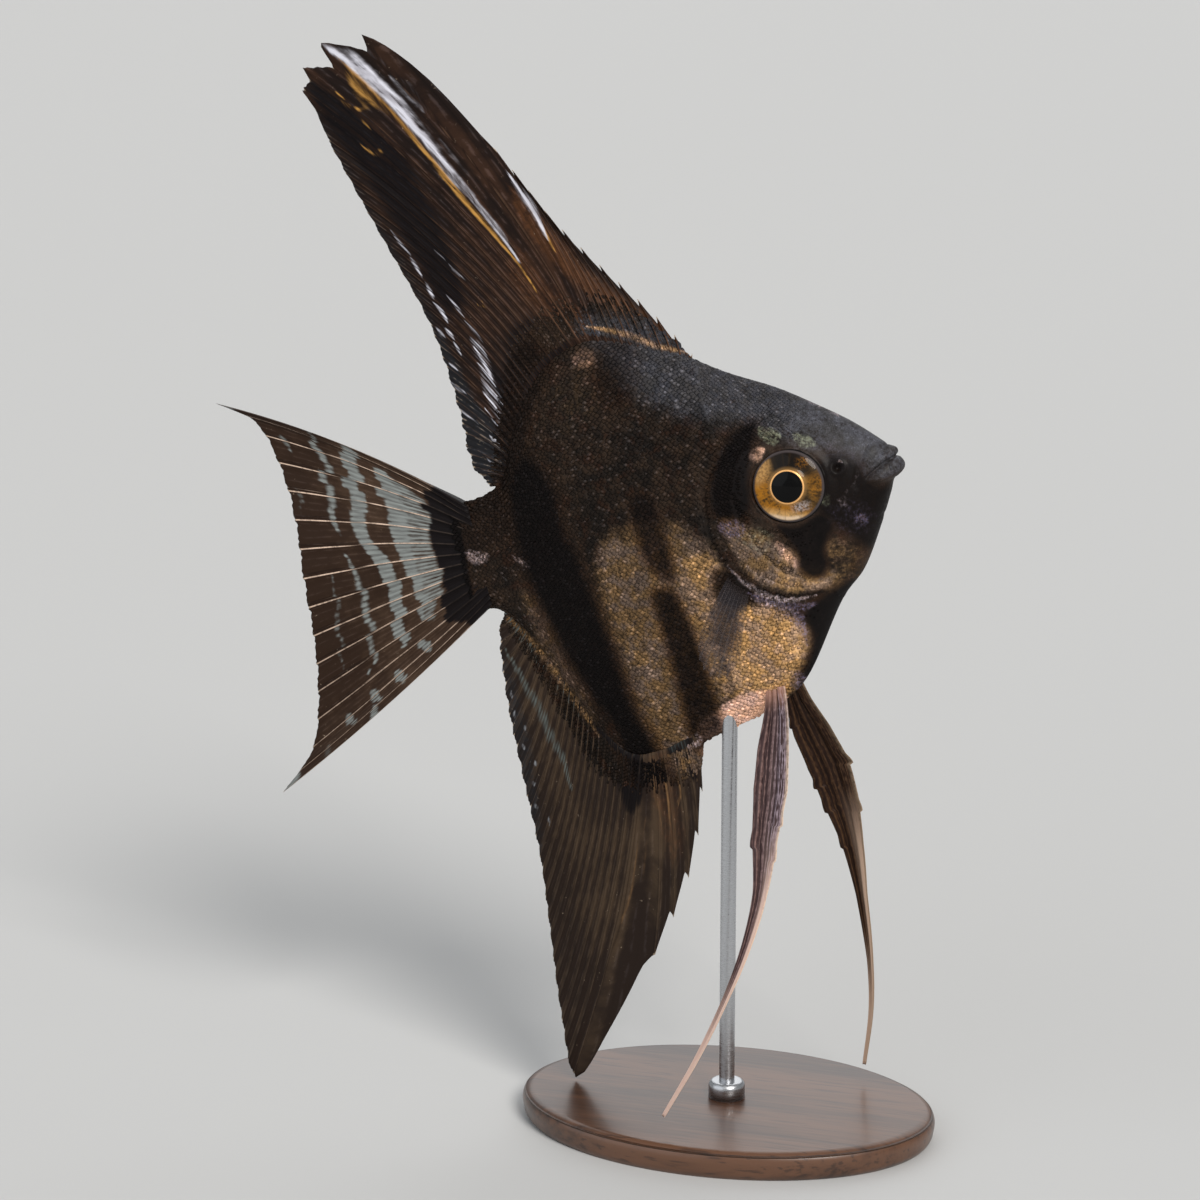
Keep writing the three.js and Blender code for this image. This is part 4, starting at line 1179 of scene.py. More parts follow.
PATCHES = (
    *patches(Mark.BARS,
        (1, 1, (15.8, 9.4), (13.4, 9.4), (11.2, 7.7), (9.2, 5.2), (7.9, 2.4), (7.4, 0), (8.2, -1.8),
         (10.4, -2.4), (12.1, -2.2), (13.2, -0.4), (13.6, 2.4), (14.2, 4.4), (15, 6.8)),
        (0.6, 1, (15.8, -4.6), (18.4, -5.2), (21.9, -4.4), (22.9, -6), (21.6, -7.9), (20.6, -9.5),
         (20.5, -11.5), (19.6, -12.7), (17.9, -12.4), (17, -10.7), (17.4, -8.8), (16.6, -6.6)),
        (1.2, 0.86, (21.8, -4.6), (21.9, -2), (22.1, 1), (23.2, 2.6), (25.6, 2.9), (27.6, 1.4), (28.6, -0.6),
         (30, -2.7), (33.6, -2.5), (33, -4), (29.8, -8.4), (27.8, -11.6), (25.9, -10.9), (24.8, -8.2),
         (23.4, -6.4)),
        (0.6, 0.4, (23.5, -12.5), (25.3, -11), (27.6, -10), (26.4, -13), (23.9, -14.4)),
        (0.8, 1, (15.7, -17.3), (18.3, -15.9), (23, -14.6), (21, -19.1), (17.8, -23.6), (14.6, -27),
         (12.3, -26.3), (13.9, -24.1), (15.5, -21)),
        (0.8, 0.8, (5.6, -9.2), (8.1, -9.8), (10, -11.9), (8.2, -13.6), (6.2, -14.2), (4.8, -13)),
        (1.5, 1, (-18.4, 12), (-15.4, 8), (-14.9, -0.2), (-14, -3.1), (-13.6, -6), (-13, -13), (-12.7, -20),
         (-12.3, -25.7), (-11.2, -30.7), (-10.3, -38), (-15.2, -38), (-16.3, -28.4), (-19, -20.9),
         (-21, -14), (-22.3, -5.6), (-22.9, 3), (-21.6, 10)),
        (1.1, 0.72, (-3.5, 3), (-1.4, 3), (-0.4, -3), (-0.6, -7.1), (-1.1, -8.6), (-3.1, -6.9),
         (-3.9, -4.4)),
        (1, 0.8, (-4, -10.2), (-1.6, -10.4), (-0.6, -13.9), (-0.2, -19.5), (-0.5, -24.9), (-1.6, -33),
         (-5.2, -33.6), (-4.8, -25.5), (-4.4, -18.7), (-4.3, -13.9)),
        (0.5, 1, (-33, 9), (-31.3, 8.6), (-30.9, 2.6), (-31.5, -2.9), (-32.6, -9), (-38, -10), (-38, 9)),
        (1.8, 0.5, (-3.6, 23.6), (-0.8, 23.4), (-0.2, 20.4), (-1.6, 17.3), (-4, 16.5), (-4.7, 19.5)),
        (1.6, 0.6, (-24, 18), (-19, 24), (-14, 27), (-13, 23), (-17, 17), (-20, 10), (-22.5, 7)),
        (1.6, 0.5, (-31, 8), (-25, 8), (-23.6, 2.4), (-28, 1.4), (-31, 2)),
        # Painted shadow of the pectoral fin on the flank below the gill cover, at half strength.
        (1.3, 0.5, (6.4, -12.4), (6.5, -14.5), (5.6, -16.8), (4, -19.8), (3.2, -18.6), (4.4, -15.6),
         (5.4, -13))),
    *patches(Mark.GOLD,
        (4.5, 0.85, (-9.4, -2), (1.3, -1.5), (5.4, -6), (5, -13), (2.6, -22.7), (-3, -36), (-10.8, -36),
         (-11.6, -18.7), (-12.2, -9.5)),
        (3, 0.45, (0.6, -6), (6, -6), (6.4, -14), (3, -28), (0, -26)),
        (2, 0.9, (8.6, -2), (13, -5), (18, -10), (21.4, -13.6), (15, -14), (10.4, -10.6)),
        (3.5, 0.42, (-24, -6), (-20, -10), (-18, -20), (-19, -27), (-24, -14)),
        (4, 0.22, (-12, 22), (-6, 24), (-4, 20), (-8, 14), (-12, 14))),
    *patches(Mark.TAN,
        (2.8, 1, (6.4, -15.4), (10.2, -14.9), (13.9, -17.4), (14.9, -20.6), (12.6, -24.6), (9.4, -28.2),
         (4, -28), (3.4, -20)),
        (1.5, 0.4, (13.4, -12.8), (18, -14.4), (20.6, -14.2), (17, -12.2), (14, -10.4)),
        (1.2, 0.2, (21.2, -8.6), (22.8, -8.1), (24.6, -9.5), (25.6, -11.2), (24, -13.4), (21.7, -13.2),
         (20.9, -11.4)),
        (1.2, 0.16, (24.2, -9.6), (27, -10.4), (26.4, -13.4), (23.8, -15.6), (22, -15), (23.4, -12.6)),
        (0.8, 0.2, (18.4, -13.6), (21.4, -13), (23.4, -13.6), (21.6, -15.4), (19.4, -15.6)),
        (4, 0.14, (-10, -12), (-5, -12), (-5.4, -24), (-9.8, -26)),
        (3, 0.42, (0.8, -7), (5.6, -6), (6.4, -14), (3.4, -27), (0.4, -27))),
    *patches(Mark.PINK,
        (1.5, 1, (-4, -30.2), (0.4, -28.2), (3.8, -27), (7.2, -27.2), (9.2, -29), (7.8, -33), (-4.4, -35)),
        (1.1, 0.42, (14.9, -6.6), (16.4, -8), (17.4, -10.4), (16.6, -11), (15.2, -9)),
        (1.6, 0.2, (-8.6, 24), (-5.4, 24.2), (-4.9, 22), (-7.9, 21.6)),
        (0.6, 0.4, (14, 5.4), (15.6, 6.4), (16.6, 5.6), (15, 4.2))),
    # Painted sheen of light over the nape and the snout, and the pectoral fin's painted shadow below the gill
    # cover.
    *patches(Mark.COOL,
        (6, 1, (-6, 28), (8, 24), (18, 18), (28, 9), (33, 3), (31, -1), (27, 1), (22, 5), (15, 9), (8, 12),
         (0, 17)),
        (0.8, 0.7, (28.2, 0.4), (31, 1.2), (34, 1.6), (34.2, -1.4), (32.4, -1.7), (30.6, -1.9),
         (28.8, -1.6)),
        (1.1, 0.85, (4.8, -12.4), (6.6, -12.7), (6.6, -14.5), (5.8, -16.7), (4.5, -19.5), (3.7, -20.7),
         (2.3, -18.5), (2.8, -16.1), (3.9, -13.9))),
    *patches(Mark.VIOLET,
        (0.7, 0.8, (7.9, -2.6), (9.7, -2.4), (11.3, -3.4), (11, -5), (9.4, -4.9), (7.8, -3.7)),
        (2.4, 0.2, (22.6, -3.6), (27, -3.4), (28.6, -6), (27, -9), (24, -8.4), (22.4, -6)),
        (0.9, 0.35, (25.8, -5.4), (27.2, -5.6), (27.2, -7.4), (25.8, -7.6)),
        (2.5, 0.18, (22, 7), (27, 5), (30, 1.4), (26, 2), (22, 4.6)),
        (0.8, 0.8, (11.3, -14.9), (13.5, -16.2), (15.2, -17.2), (15.3, -19.3), (14.3, -22.2), (14, -18.8),
         (12.6, -17.2)),
        (0.6, 0.7, (11.9, -25.1), (12.6, -26.4), (11.3, -28.4), (10.3, -27))),
    *patches(Mark.GREEN,
        (0.8, 0.35, (22.7, -1.4), (23.6, -2.2), (23, -3.6), (22.2, -3)),
        (0.6, 0.9, (15.9, 8.7), (17.5, 8.4), (18.8, 7), (17.9, 6), (16.2, 7.2)),
        (0.7, 0.75, (20.4, 7), (22.3, 6.2), (23.3, 4.7), (21.1, 5.1)),
        (1, 0.35, (13.3, -4.2), (15, -6.4), (12.9, -8.2), (10.2, -6), (9.4, -5))),
    *patches(Mark.PALE,
        (0.9, 0.2, (24.2, -3), (25.4, -2.8), (25.8, -4), (24.6, -4.4)),
        (1.2, 0.5, (-31.2, 0.7), (-29.3, 0.4), (-27.6, -0.4), (-28.4, -1.6), (-30.4, -1.3)),
        (0.6, 0.4, (-24.2, -1), (-22.4, -2.2), (-21.6, -3.4), (-23, -3)),
        (0.8, 0.6, (-6.6, -31.6), (-4.4, -31.4), (-4.6, -33), (-7, -33.2))),
)

STROKES = (
    *strokes(Mark.TAN,
        (0.5, 0.62, (-5.4, 27.2), (-2, 25.8), (0.5, 24.5), (3.5, 22.5), (7.9, 20.3)),
        (0.9, 0.3, (-29, -8.6), (-25, -14), (-22, -21), (-19, -29))),
    *strokes(Mark.VIOLET,
        (0.9, 0.8, (9.2, -12.8), (11, -14.5), (13.2, -15.7), (15.6, -16.4), (17.4, -16.5))),
    *strokes(Mark.PALE,
        (0.5, 0.8, (7.4, -8.4), (8.7, -10.5), (9.9, -12), (11.4, -13.5), (13.2, -14.6), (15.1, -15.2),
         (17.8, -15.3)),
        (0.8, 0.35, (9.4, -13.6), (11.4, -15), (13.4, -16.2), (14.8, -17)),
        # Painted highlight along the edge of the maxilla, behind the mouth.
        (0.45, 0.16, (27.9, 1.2), (27.6, -0.4), (26.6, -1.6), (24.8, -3)),
        (0.35, 0.3, (9.2, -7.4), (10.6, -9.6), (12.4, -11.6), (14.4, -12.9), (17, -13.7)),
        (0.3, 0.4, (21.6, 11), (24, 9.4), (26.2, 7.4)),
        (0.16, 0.6, (26.2, 1.5), (25.9, 1.9), (25.4, 1.95))),
)


@dataclass(frozen=True)
class Markings:
    """Works out the fields of the markings at any places of the flank."""

    patches: tuple[Patch, ...] = PATCHES
    strokes: tuple[Stroke, ...] = STROKES

    def fields(self, points: Array) -> dict[Mark, Array]:
        """The strength of each mark that is used at (n, 3) points of the fish's frame.

        BARS holds the depth inside a dark bar as a share of the bar's soft edge, from -2 to 2, so
        that a finish can ruffle the edge. The other fields run from 0 to 1.

        Args:
            points: places in the fish's frame.

        Returns:
            One array for each mark.
        """
        x, z = points[:, 0], points[:, 2]
        used = {part.mark for part in (*self.patches, *self.strokes)}
        fields = {mark: np.full(len(x), -2.0 if mark is Mark.BARS else 0.0) for mark in Mark if mark in used}
        for patch in self.patches:
            outline = Curve(patch.outline, closed=True, steps=5).samples
            margin = 3 * patch.soft
            low, high = outline.min(axis=0) - margin, outline.max(axis=0) + margin
            near = np.flatnonzero((x > low[0]) & (x < high[0]) & (z > low[1]) & (z < high[1]))
            distance, _ = segment_distance(x[near], z[near], outline)
            depth = np.where(inside(x[near], z[near], outline), distance, -distance) / patch.soft
            if patch.mark is Mark.BARS:
                level = np.clip(depth, -2, 2 if patch.strength == 1 else 1.9 * patch.strength - 1)
            else:
                level = patch.strength * smoothstep(-0.5, 0.5, depth)
            fields[patch.mark][near] = np.maximum(fields[patch.mark][near], level)
        for stroke in self.strokes:
            distance, share = segment_distance(x, z, Curve(stroke.line, steps=6).samples)
            width = stroke.width * (0.25 + 0.75 * np.sin(np.pi * share))
            level = stroke.strength * bump(distance, width)
            fields[stroke.mark] = np.maximum(fields[stroke.mark], level)
        return fields

    def dress(self, mesh: Mesh, places: Array | None = None) -> None:
        """Stores the fields on a mesh as attributes, read at its own points or at other places."""
        points = FISH.read(mesh_points(mesh)) if places is None else places
        for mark, values in self.fields(points).items():
            store(mesh, mark.value, values)


# ---- Scales ----


@dataclass(frozen=True)
class ScaleField:
    """One field of scales: its stretch of the flank and the size of its scales."""

    name: str
    x_range: tuple[float, float]
    on_head: bool
    pitch: float  # from one scale to the next behind it
    rows: float  # from one row to the next

    def covers(self, x: Array, z: Array) -> Array:
        """Whether places of the side view belong to this field."""
        head = inside(x, z, np.array(HEAD_OUTLINE, float))
        within = (x >= self.x_range[0]) & (x < self.x_range[1])
        return within & (head == self.on_head) & (bareness(x, z) < 1)


def bareness(x: Array, z: Array) -> Array:
    """How bare the face is at places of the side view, from 0 where scales are full to 1."""
    face = smoothstep(-6, 0, x - 22.5 - 0.25 * (z - 2))
    around_eye = smoothstep(EYE.opening + 2.6, EYE.opening + 0.75, EYE.distance(x, z))
    return np.maximum(face, around_eye)


@dataclass
class ScaleCoat:
    """The coat of scales over the skin, each scale a thin closed plate laid back to the tail."""

    skin: Skin
    markings: Markings
    material: Material
    overlap: float = 1.6  # length of a scale for each unit of pitch
    breadth: float = 2.0  # width of a scale for each unit of the row spacing
    lift: float = 0.032  # height of a scale's rear rim over the skin, for each unit of pitch
    sink: float = 0.06  # depth of its root under the skin, for each unit of pitch
    thickness: float = 0.026
    cells: int = 4  # points along each side of a plate's grid
    most_tilt: float = 0.3  # slope by which a scale rises where the flank behind it is hollow
    fields: tuple[ScaleField, ...] = (
        ScaleField("rear", (-31.4, -9.5), False, 0.78, 0.41),
        ScaleField("middle", (-9.5, 0.5), False, 0.82, 0.44),
        ScaleField("front", (0.5, 26), False, 0.78, 0.42),
        ScaleField("head", (5, 26), True, 0.56, 0.31),
    )

    def lattice(self, region: ScaleField, random: np.random.Generator) -> tuple[Array, Array, Array, Array]:
        """Root places of a field's scales in staggered rows.

        Args:
            region: the field.
            random: source of the small shifts of the scales.

        Returns:
            The stations, the angles, and the stations and girths as shares of the skin's unwrap.
        """
        body = self.skin.body
        found: list[tuple[Array, Array, Array, Array]] = []
        start, end = region.x_range
        for step, x in enumerate(np.arange(start, end, region.pitch / 2)):
            angles, lengths = body.section_lengths(x)
            middle = np.interp(0.0, angles, lengths)
            offset = region.rows * (step % 2)
            places = middle + offset + 2 * region.rows * np.arange(-100, 100)
            places = places + random.normal(0, 0.07 * region.rows, len(places))
            places = places[(places > 0.2) & (places < lengths[-1] - 0.2)]
            angle = np.interp(places, lengths, angles)
            station = x + random.normal(0, 0.05 * region.pitch, len(places))
            z = body.form(station, angle)[:, 2]
            keep = region.covers(station, z) & (random.random(len(z)) > 0.75 * bareness(station, z) ** 2)
            share = (x - body.tail_root) / (body.snout - body.tail_root)
            found.append((station[keep], angle[keep], np.full(keep.sum(), share),
                          (places / lengths[-1])[keep]))
        x, angle, share, girth = (np.concatenate(column) for column in zip(*found))
        return x, angle, share, girth

    def roots(self, region: ScaleField, side: Side, random: np.random.Generator) -> Mesh:
        """A mesh of loose points, one at each scale's root, with all that a scale needs to know.

        Args:
            region: the field of scales.
            side: the flank.
            random: source of the small differences between scales.

        Returns:
            The mesh of points, in the model's frame.
        """
        x, angle, share, girth = self.lattice(region, random)
        points, normal = self.skin.flank(x, angle)
        behind, _ = self.skin.flank(x - 0.4, angle)
        ahead, _ = self.skin.flank(x + 0.1, angle)
        lie = unit(behind - ahead)
        reached, _ = self.skin.flank(x - region.pitch * self.overlap, angle)
        chord = reached - points
        hollow = (chord * normal).sum(axis=1, keepdims=True) / np.linalg.norm(chord, axis=1, keepdims=True)
        up = normal - lie * np.clip(hollow, 0, self.most_tilt)
        mirror = np.array([1, side.value, 1])
        lie[:, 2] += random.normal(0, 0.06, len(x))
        unwrap = np.stack([share, girth / 2 if side is Side.LEFT else 1 - girth / 2, 0 * x], axis=1)
        tone = random.random(len(x))
        size = random.normal(1, 0.08, len(x)) * (1 - 0.55 * bareness(points[:, 0], points[:, 2]))
        size = size * smoothstep(-0.02, 0.05, np.minimum(girth, 1 - girth)) ** 0.5
        return self._root_mesh(points * mirror, up * mirror, lie * mirror, root=unwrap, tone=tone,
                               size=np.clip(size, 0.35, 1.2))

    @staticmethod
    def _root_mesh(points: Array, up: Array, lie: Array, **fields: Array) -> Mesh:
        """A mesh of loose points with the directions and the other fields that a scale needs."""
        mesh = bpy.data.meshes.new("roots")
        mesh.from_pydata(FISH.place(points).tolist(), [], [])
        for name, values in {"up": FISH.turn(up), "lie": FISH.turn(lie), **fields}.items():
            store(mesh, name, values)
        return mesh

    def tree(self) -> tuple[bpy.types.NodeTree, dict[str, str]]:
        """Builds the node tree that lays a plate on every root.

        Returns:
            The tree, and the identifier of each of its inputs by name.
        """
        tree = bpy.data.node_groups.new("scale_plates", "GeometryNodeTree")
        kinds = {"Roots": "NodeSocketGeometry", "Length": "NodeSocketFloat", "Width": "NodeSocketFloat",
                 "Lift": "NodeSocketFloat", "Sink": "NodeSocketFloat", "Thickness": "NodeSocketFloat",
                 "Material": "NodeSocketMaterial"}
        names = {name: tree.interface.new_socket(name, in_out="INPUT", socket_type=kind).identifier
                 for name, kind in kinds.items()}
        tree.interface.new_socket("Scales", in_out="OUTPUT", socket_type="NodeSocketGeometry")
        graph = Graph(tree)
        given = graph.node("NodeGroupInput")
        length, width, lift, sink, thickness = (
            graph.out(given, name) for name in ("Length", "Width", "Lift", "Sink", "Thickness"))
        grid = graph.node("GeometryNodeMeshGrid", sockets={
            "Size X": 1.0, "Size Y": 1.0, "Vertices X": self.cells, "Vertices Y": self.cells})
        flat = graph.call("GeometryNodeInputPosition")
        x, y, _ = graph.split(flat)
        along, across = x + 0.5, y * 2
        local = graph.join(along, y + 0.5, 0.0)
        marked = graph.call("GeometryNodeStoreNamedAttribute",
                                      {"data_type": "FLOAT_VECTOR", "domain": "POINT"},
                                      {"Geometry": graph.out(grid, "Mesh"), "Name": "local", "Value": local})
        bow = across * across
        round_rear = length * (along - along * along * bow * 0.34)
        spread = width * y * (0.62 + along * 0.9 - along * along * 0.62)
        base = along * (lift - thickness * 0.4) - (1 - along) * sink - bow * lift * 0.35
        dome = (1 - bow * bow) * (along * (1 - along) * 4) ** 0.5
        top = graph.join(round_rear, spread, base + thickness * dome)
        under = graph.join(round_rear, spread, base)
        upper = graph.call("GeometryNodeSetPosition", sockets={"Geometry": marked, "Position": top})
        lower = graph.call("GeometryNodeSetPosition", sockets={"Geometry": marked, "Position": under})
        lower = graph.call("GeometryNodeFlipFaces", sockets={"Mesh": lower})
        join = graph.node("GeometryNodeJoinGeometry")
        graph.feed(join.inputs[0], upper)
        graph.feed(join.inputs[0], lower)
        plate = graph.call("GeometryNodeMergeByDistance",
                                     sockets={"Geometry": graph.out(join), "Distance": 1e-7})

        def read(name: str, kind: str) -> Value:
            """A named attribute of the roots."""
            return graph.call("GeometryNodeInputNamedAttribute", {"data_type": kind}, {"Name": name})

        turn = graph.call("FunctionNodeAxesToRotation", {"primary_axis": "Z", "secondary_axis": "X"},
                                    {"Primary Axis": read("up", "FLOAT_VECTOR"),
                                     "Secondary Axis": read("lie", "FLOAT_VECTOR")})
        instances = graph.call("GeometryNodeInstanceOnPoints", sockets={
            "Points": graph.out(given, "Roots"), "Instance": plate, "Rotation": turn,
            "Scale": read("size", "FLOAT")})
        real = graph.call("GeometryNodeRealizeInstances", sockets={"Geometry": instances})
        patch = graph.vector("MULTIPLY", read("local", "FLOAT_VECTOR"), (BAKE_PATCH, BAKE_PATCH, 0.0))
        unwrap = graph.vector("ADD", read("root", "FLOAT_VECTOR"), patch)
        mapped = graph.call("GeometryNodeStoreNamedAttribute",
                                      {"data_type": "FLOAT2", "domain": "CORNER"},
                                      {"Geometry": real, "Name": "OFBake", "Value": unwrap})
        dressed = graph.call("GeometryNodeSetMaterial", sockets={
            "Geometry": mapped, "Material": graph.out(given, "Material")})
        smooth = graph.call("GeometryNodeSetShadeSmooth", sockets={"Geometry": dressed})
        graph.node("NodeGroupOutput", sockets={0: smooth})
        return tree, names

    def build(self) -> None:
        """Makes the coat's pieces, one for each field and flank."""
        tree, names = self.tree()
        random = np.random.default_rng(SEED)
        for region in self.fields:
            sizes = self.sizes(region.pitch, region.rows)
            for side in Side:
                mesh = self._plates(self.roots(region, side, random), tree, names, sizes)
                self.markings.dress(mesh)
                add_piece(f"scales_{region.name}_{side.word}", mesh, self.material)
        bpy.data.node_groups.remove(tree)

    def build_sheath(self, fin: "MedianFin", reach: float) -> None:
        """Makes the small scales that run from the body's edge on to the root of an unpaired fin.

        Args:
            fin: the fin.
            reach: how far from the body's edge the last scales lie.
        """
        tree, names = self.tree()
        random = np.random.default_rng(SEED + 1)
        made = fin.surface()
        pitch, spacing, inset, farthest = 0.56, 0.31, 1.3, 14.0
        root = made.centre[0][:, [0, 2]]
        travelled = np.concatenate([[0], np.cumsum(np.linalg.norm(np.diff(root, axis=0), axis=1))])
        across, out = np.meshgrid(np.arange(0.1, travelled[-1] - 0.1, 2 * spacing),
                                  np.arange(0.1, farthest, pitch / 2), indexing="ij")
        across = across + spacing * (np.arange(out.shape[1]) % 2)
        across, out = (values.ravel() + random.normal(0, 0.03, values.size) for values in (across, out))
        column = np.interp(across, travelled, np.arange(len(travelled)))
        length = np.interp(column, np.arange(len(made.length)), made.length)
        row = np.interp(out / length, made.t, np.arange(len(made.t)))
        points, _ = made.at(row, column)
        beyond = self.skin.body.beyond(points[:, 0], points[:, 2])
        reach = reach * np.interp(across / travelled[-1], (0, 0.5, 0.85), (1, 1, 0.4))
        fading = smoothstep(reach * 0.3, reach, beyond)
        last = np.where(beyond < 0.6, length - pitch * self.overlap, length * 0.6)
        keep = (beyond > -inset) & (random.random(len(out)) > fading) & (out < last)
        across, out, column, row, fading = (values[keep] for values in (across, out, column, row, fading))
        points, half = made.at(row, column)
        further, half_further = made.at(row + 0.3, column)
        slope = np.stack([np.zeros(len(out)), half_further - half, np.zeros(len(out))], axis=1)
        sides = []
        for side in Side:
            shift = half[:, None] * np.array([0, side.value, 0])
            lie = further - points + slope * side.value
            up = unit(np.cross(np.cross(lie, (0, side.value, 0)), lie))
            girth = (0.0 if side is Side.LEFT else 0.5) + 0.02 + out / farthest * 0.45
            share = across / travelled[-1]
            sides.append((points + shift, up, lie, np.stack([share, girth, 0 * share], axis=1)))
        points, up, lie, unwrap = (np.concatenate(parts) for parts in zip(*sides))
        tone = random.random(len(points))
        size = random.normal(1, 0.08, len(points)) * np.tile(1 - 0.45 * fading, 2)
        mesh = self._root_mesh(points, up, lie, root=unwrap, tone=tone, size=size)
        plates = self._plates(mesh, tree, names, self.sizes(pitch, spacing))
        self.markings.dress(plates)
        add_piece(f"scales_{fin.name}", plates, self.material)
        bpy.data.node_groups.remove(tree)

    def sizes(self, pitch: float, rows: float) -> dict[str, float]:
        """The node tree's inputs in millimetres, for scales of a pitch and a row spacing."""
        return {"Length": pitch * self.overlap, "Width": rows * self.breadth, "Lift": pitch * self.lift,
                "Sink": pitch * self.sink, "Thickness": self.thickness}

    def _plates(self, roots: Mesh, tree: bpy.types.NodeTree, names: Mapping[str, str],
                sizes: Mapping[str, float]) -> Mesh:
        """Runs the tree on a mesh of roots.

        Args:
            roots: the points that the scales stand on.
            tree: the node tree.
            names: identifier of each input by name.
            sizes: the inputs' values in millimetres.

        Returns:
            A plain mesh of all the plates.
        """
        carrier = add_object("scale_roots", roots)
        modifier = carrier.modifiers.new("plates", "NODES")
        modifier.node_group = tree
        for name, size in sizes.items():
            modifier[names[name]] = size * METRES
        modifier[names["Material"]] = self.material
        evaluated = carrier.evaluated_get(bpy.context.evaluated_depsgraph_get())
        mesh = bpy.data.meshes.new_from_object(evaluated)
        carrier.modifiers.remove(modifier)
        bpy.data.objects.remove(carrier)
        bpy.data.meshes.remove(roots)
        for name in ("up", "lie", "root", "size"):
            if name in mesh.attributes:
                mesh.attributes.remove(mesh.attributes[name])
        return mesh


# ---- Fins ----


def blade_mesh(name: str, centre: Array, facing: Array, half: Array,
               fin: Sequence[Array]) -> tuple[Mesh, Array]:
    """Closed thin blade round a grid of points, its two faces joined along all four edges.

    Args:
        name: name of the mesh.
        centre: (rows, columns, 3) points of the middle surface.
        facing: (rows, columns, 3) unit directions of the first face.
        half: (rows, columns) half thicknesses; those of the edges don't count.
        fin: the place across and along the fin and the share of a ray, kept as the "fin" attribute.

    Returns:
        The mesh, and for each of its points the number of the grid point that it belongs to.
    """
    rows, columns = half.shape
    depth = half.copy()
    depth[[0, -1], :] = 0
    depth[:, [0, -1]] = 0
    number = np.arange(rows * columns).reshape(rows, columns)
    back = number.copy()
    back[1:-1, 1:-1] = rows * columns + np.arange((rows - 2) * (columns - 2)).reshape(rows - 2, columns - 2)
    shift = facing * depth[..., None]
    points = np.vstack([(centre + shift).reshape(-1, 3), (centre - shift)[1:-1, 1:-1].reshape(-1, 3)])
    source = np.concatenate([number.ravel(), number[1:-1, 1:-1].ravel()])
    faces = grid_faces(rows, columns)
    corners = centre.reshape(-1, 3)[faces[len(faces) // 2]]
    turn = np.cross(corners[1] - corners[0], corners[3] - corners[0])
    inward = float(turn @ facing.reshape(-1, 3)[faces[len(faces) // 2][0]]) < 0
    behind = back.ravel()[faces][:, ::-1]
    mesh = make_mesh(name, FISH.place(points), [faces, behind], flip=inward)
    layers = [np.broadcast_to(layer, half.shape).ravel() for layer in fin]
    store(mesh, "fin", np.stack(layers, axis=1)[source])
    return mesh, source


def surface_directions(centre: Array) -> Array:
    """Unit directions square to a grid of points."""
    return unit(np.cross(np.gradient(centre, axis=1), np.gradient(centre, axis=0)))


@dataclass(frozen=True)
class FinSurface:
    """Middle surface of a fin as rows of points from root to margin, with its half thickness."""

    centre: Array
    half: Array
    ray: Array  # number of the ray at each column, with the share of the way to the next
    t: Array  # share of the way from root to margin at each row
    rib: Array  # 1 on the rays
    length: Array  # length of each column

    def at(self, row: Array, column: Array) -> tuple[Array, Array]:
        """Points and half thicknesses between the surface's own points.

        Args:
            row: places along the rays, counted in rows.
            column: places across the rays, counted in columns.

        Returns:
            The points and the half thicknesses.
        """
        i = np.clip(np.floor(row).astype(int), 0, len(self.t) - 2)
        j = np.clip(np.floor(column).astype(int), 0, len(self.ray) - 2)
        u, v = row - i, column - j
        layers = np.concatenate([self.centre, self.half[..., None]], axis=2)
        u, v = u[:, None], v[:, None]
        mixed = ((layers[i, j] * (1 - v) + layers[i, j + 1] * v) * (1 - u)
                 + (layers[i + 1, j] * (1 - v) + layers[i + 1, j + 1] * v) * u)
        return mixed[:, :3], mixed[:, 3]


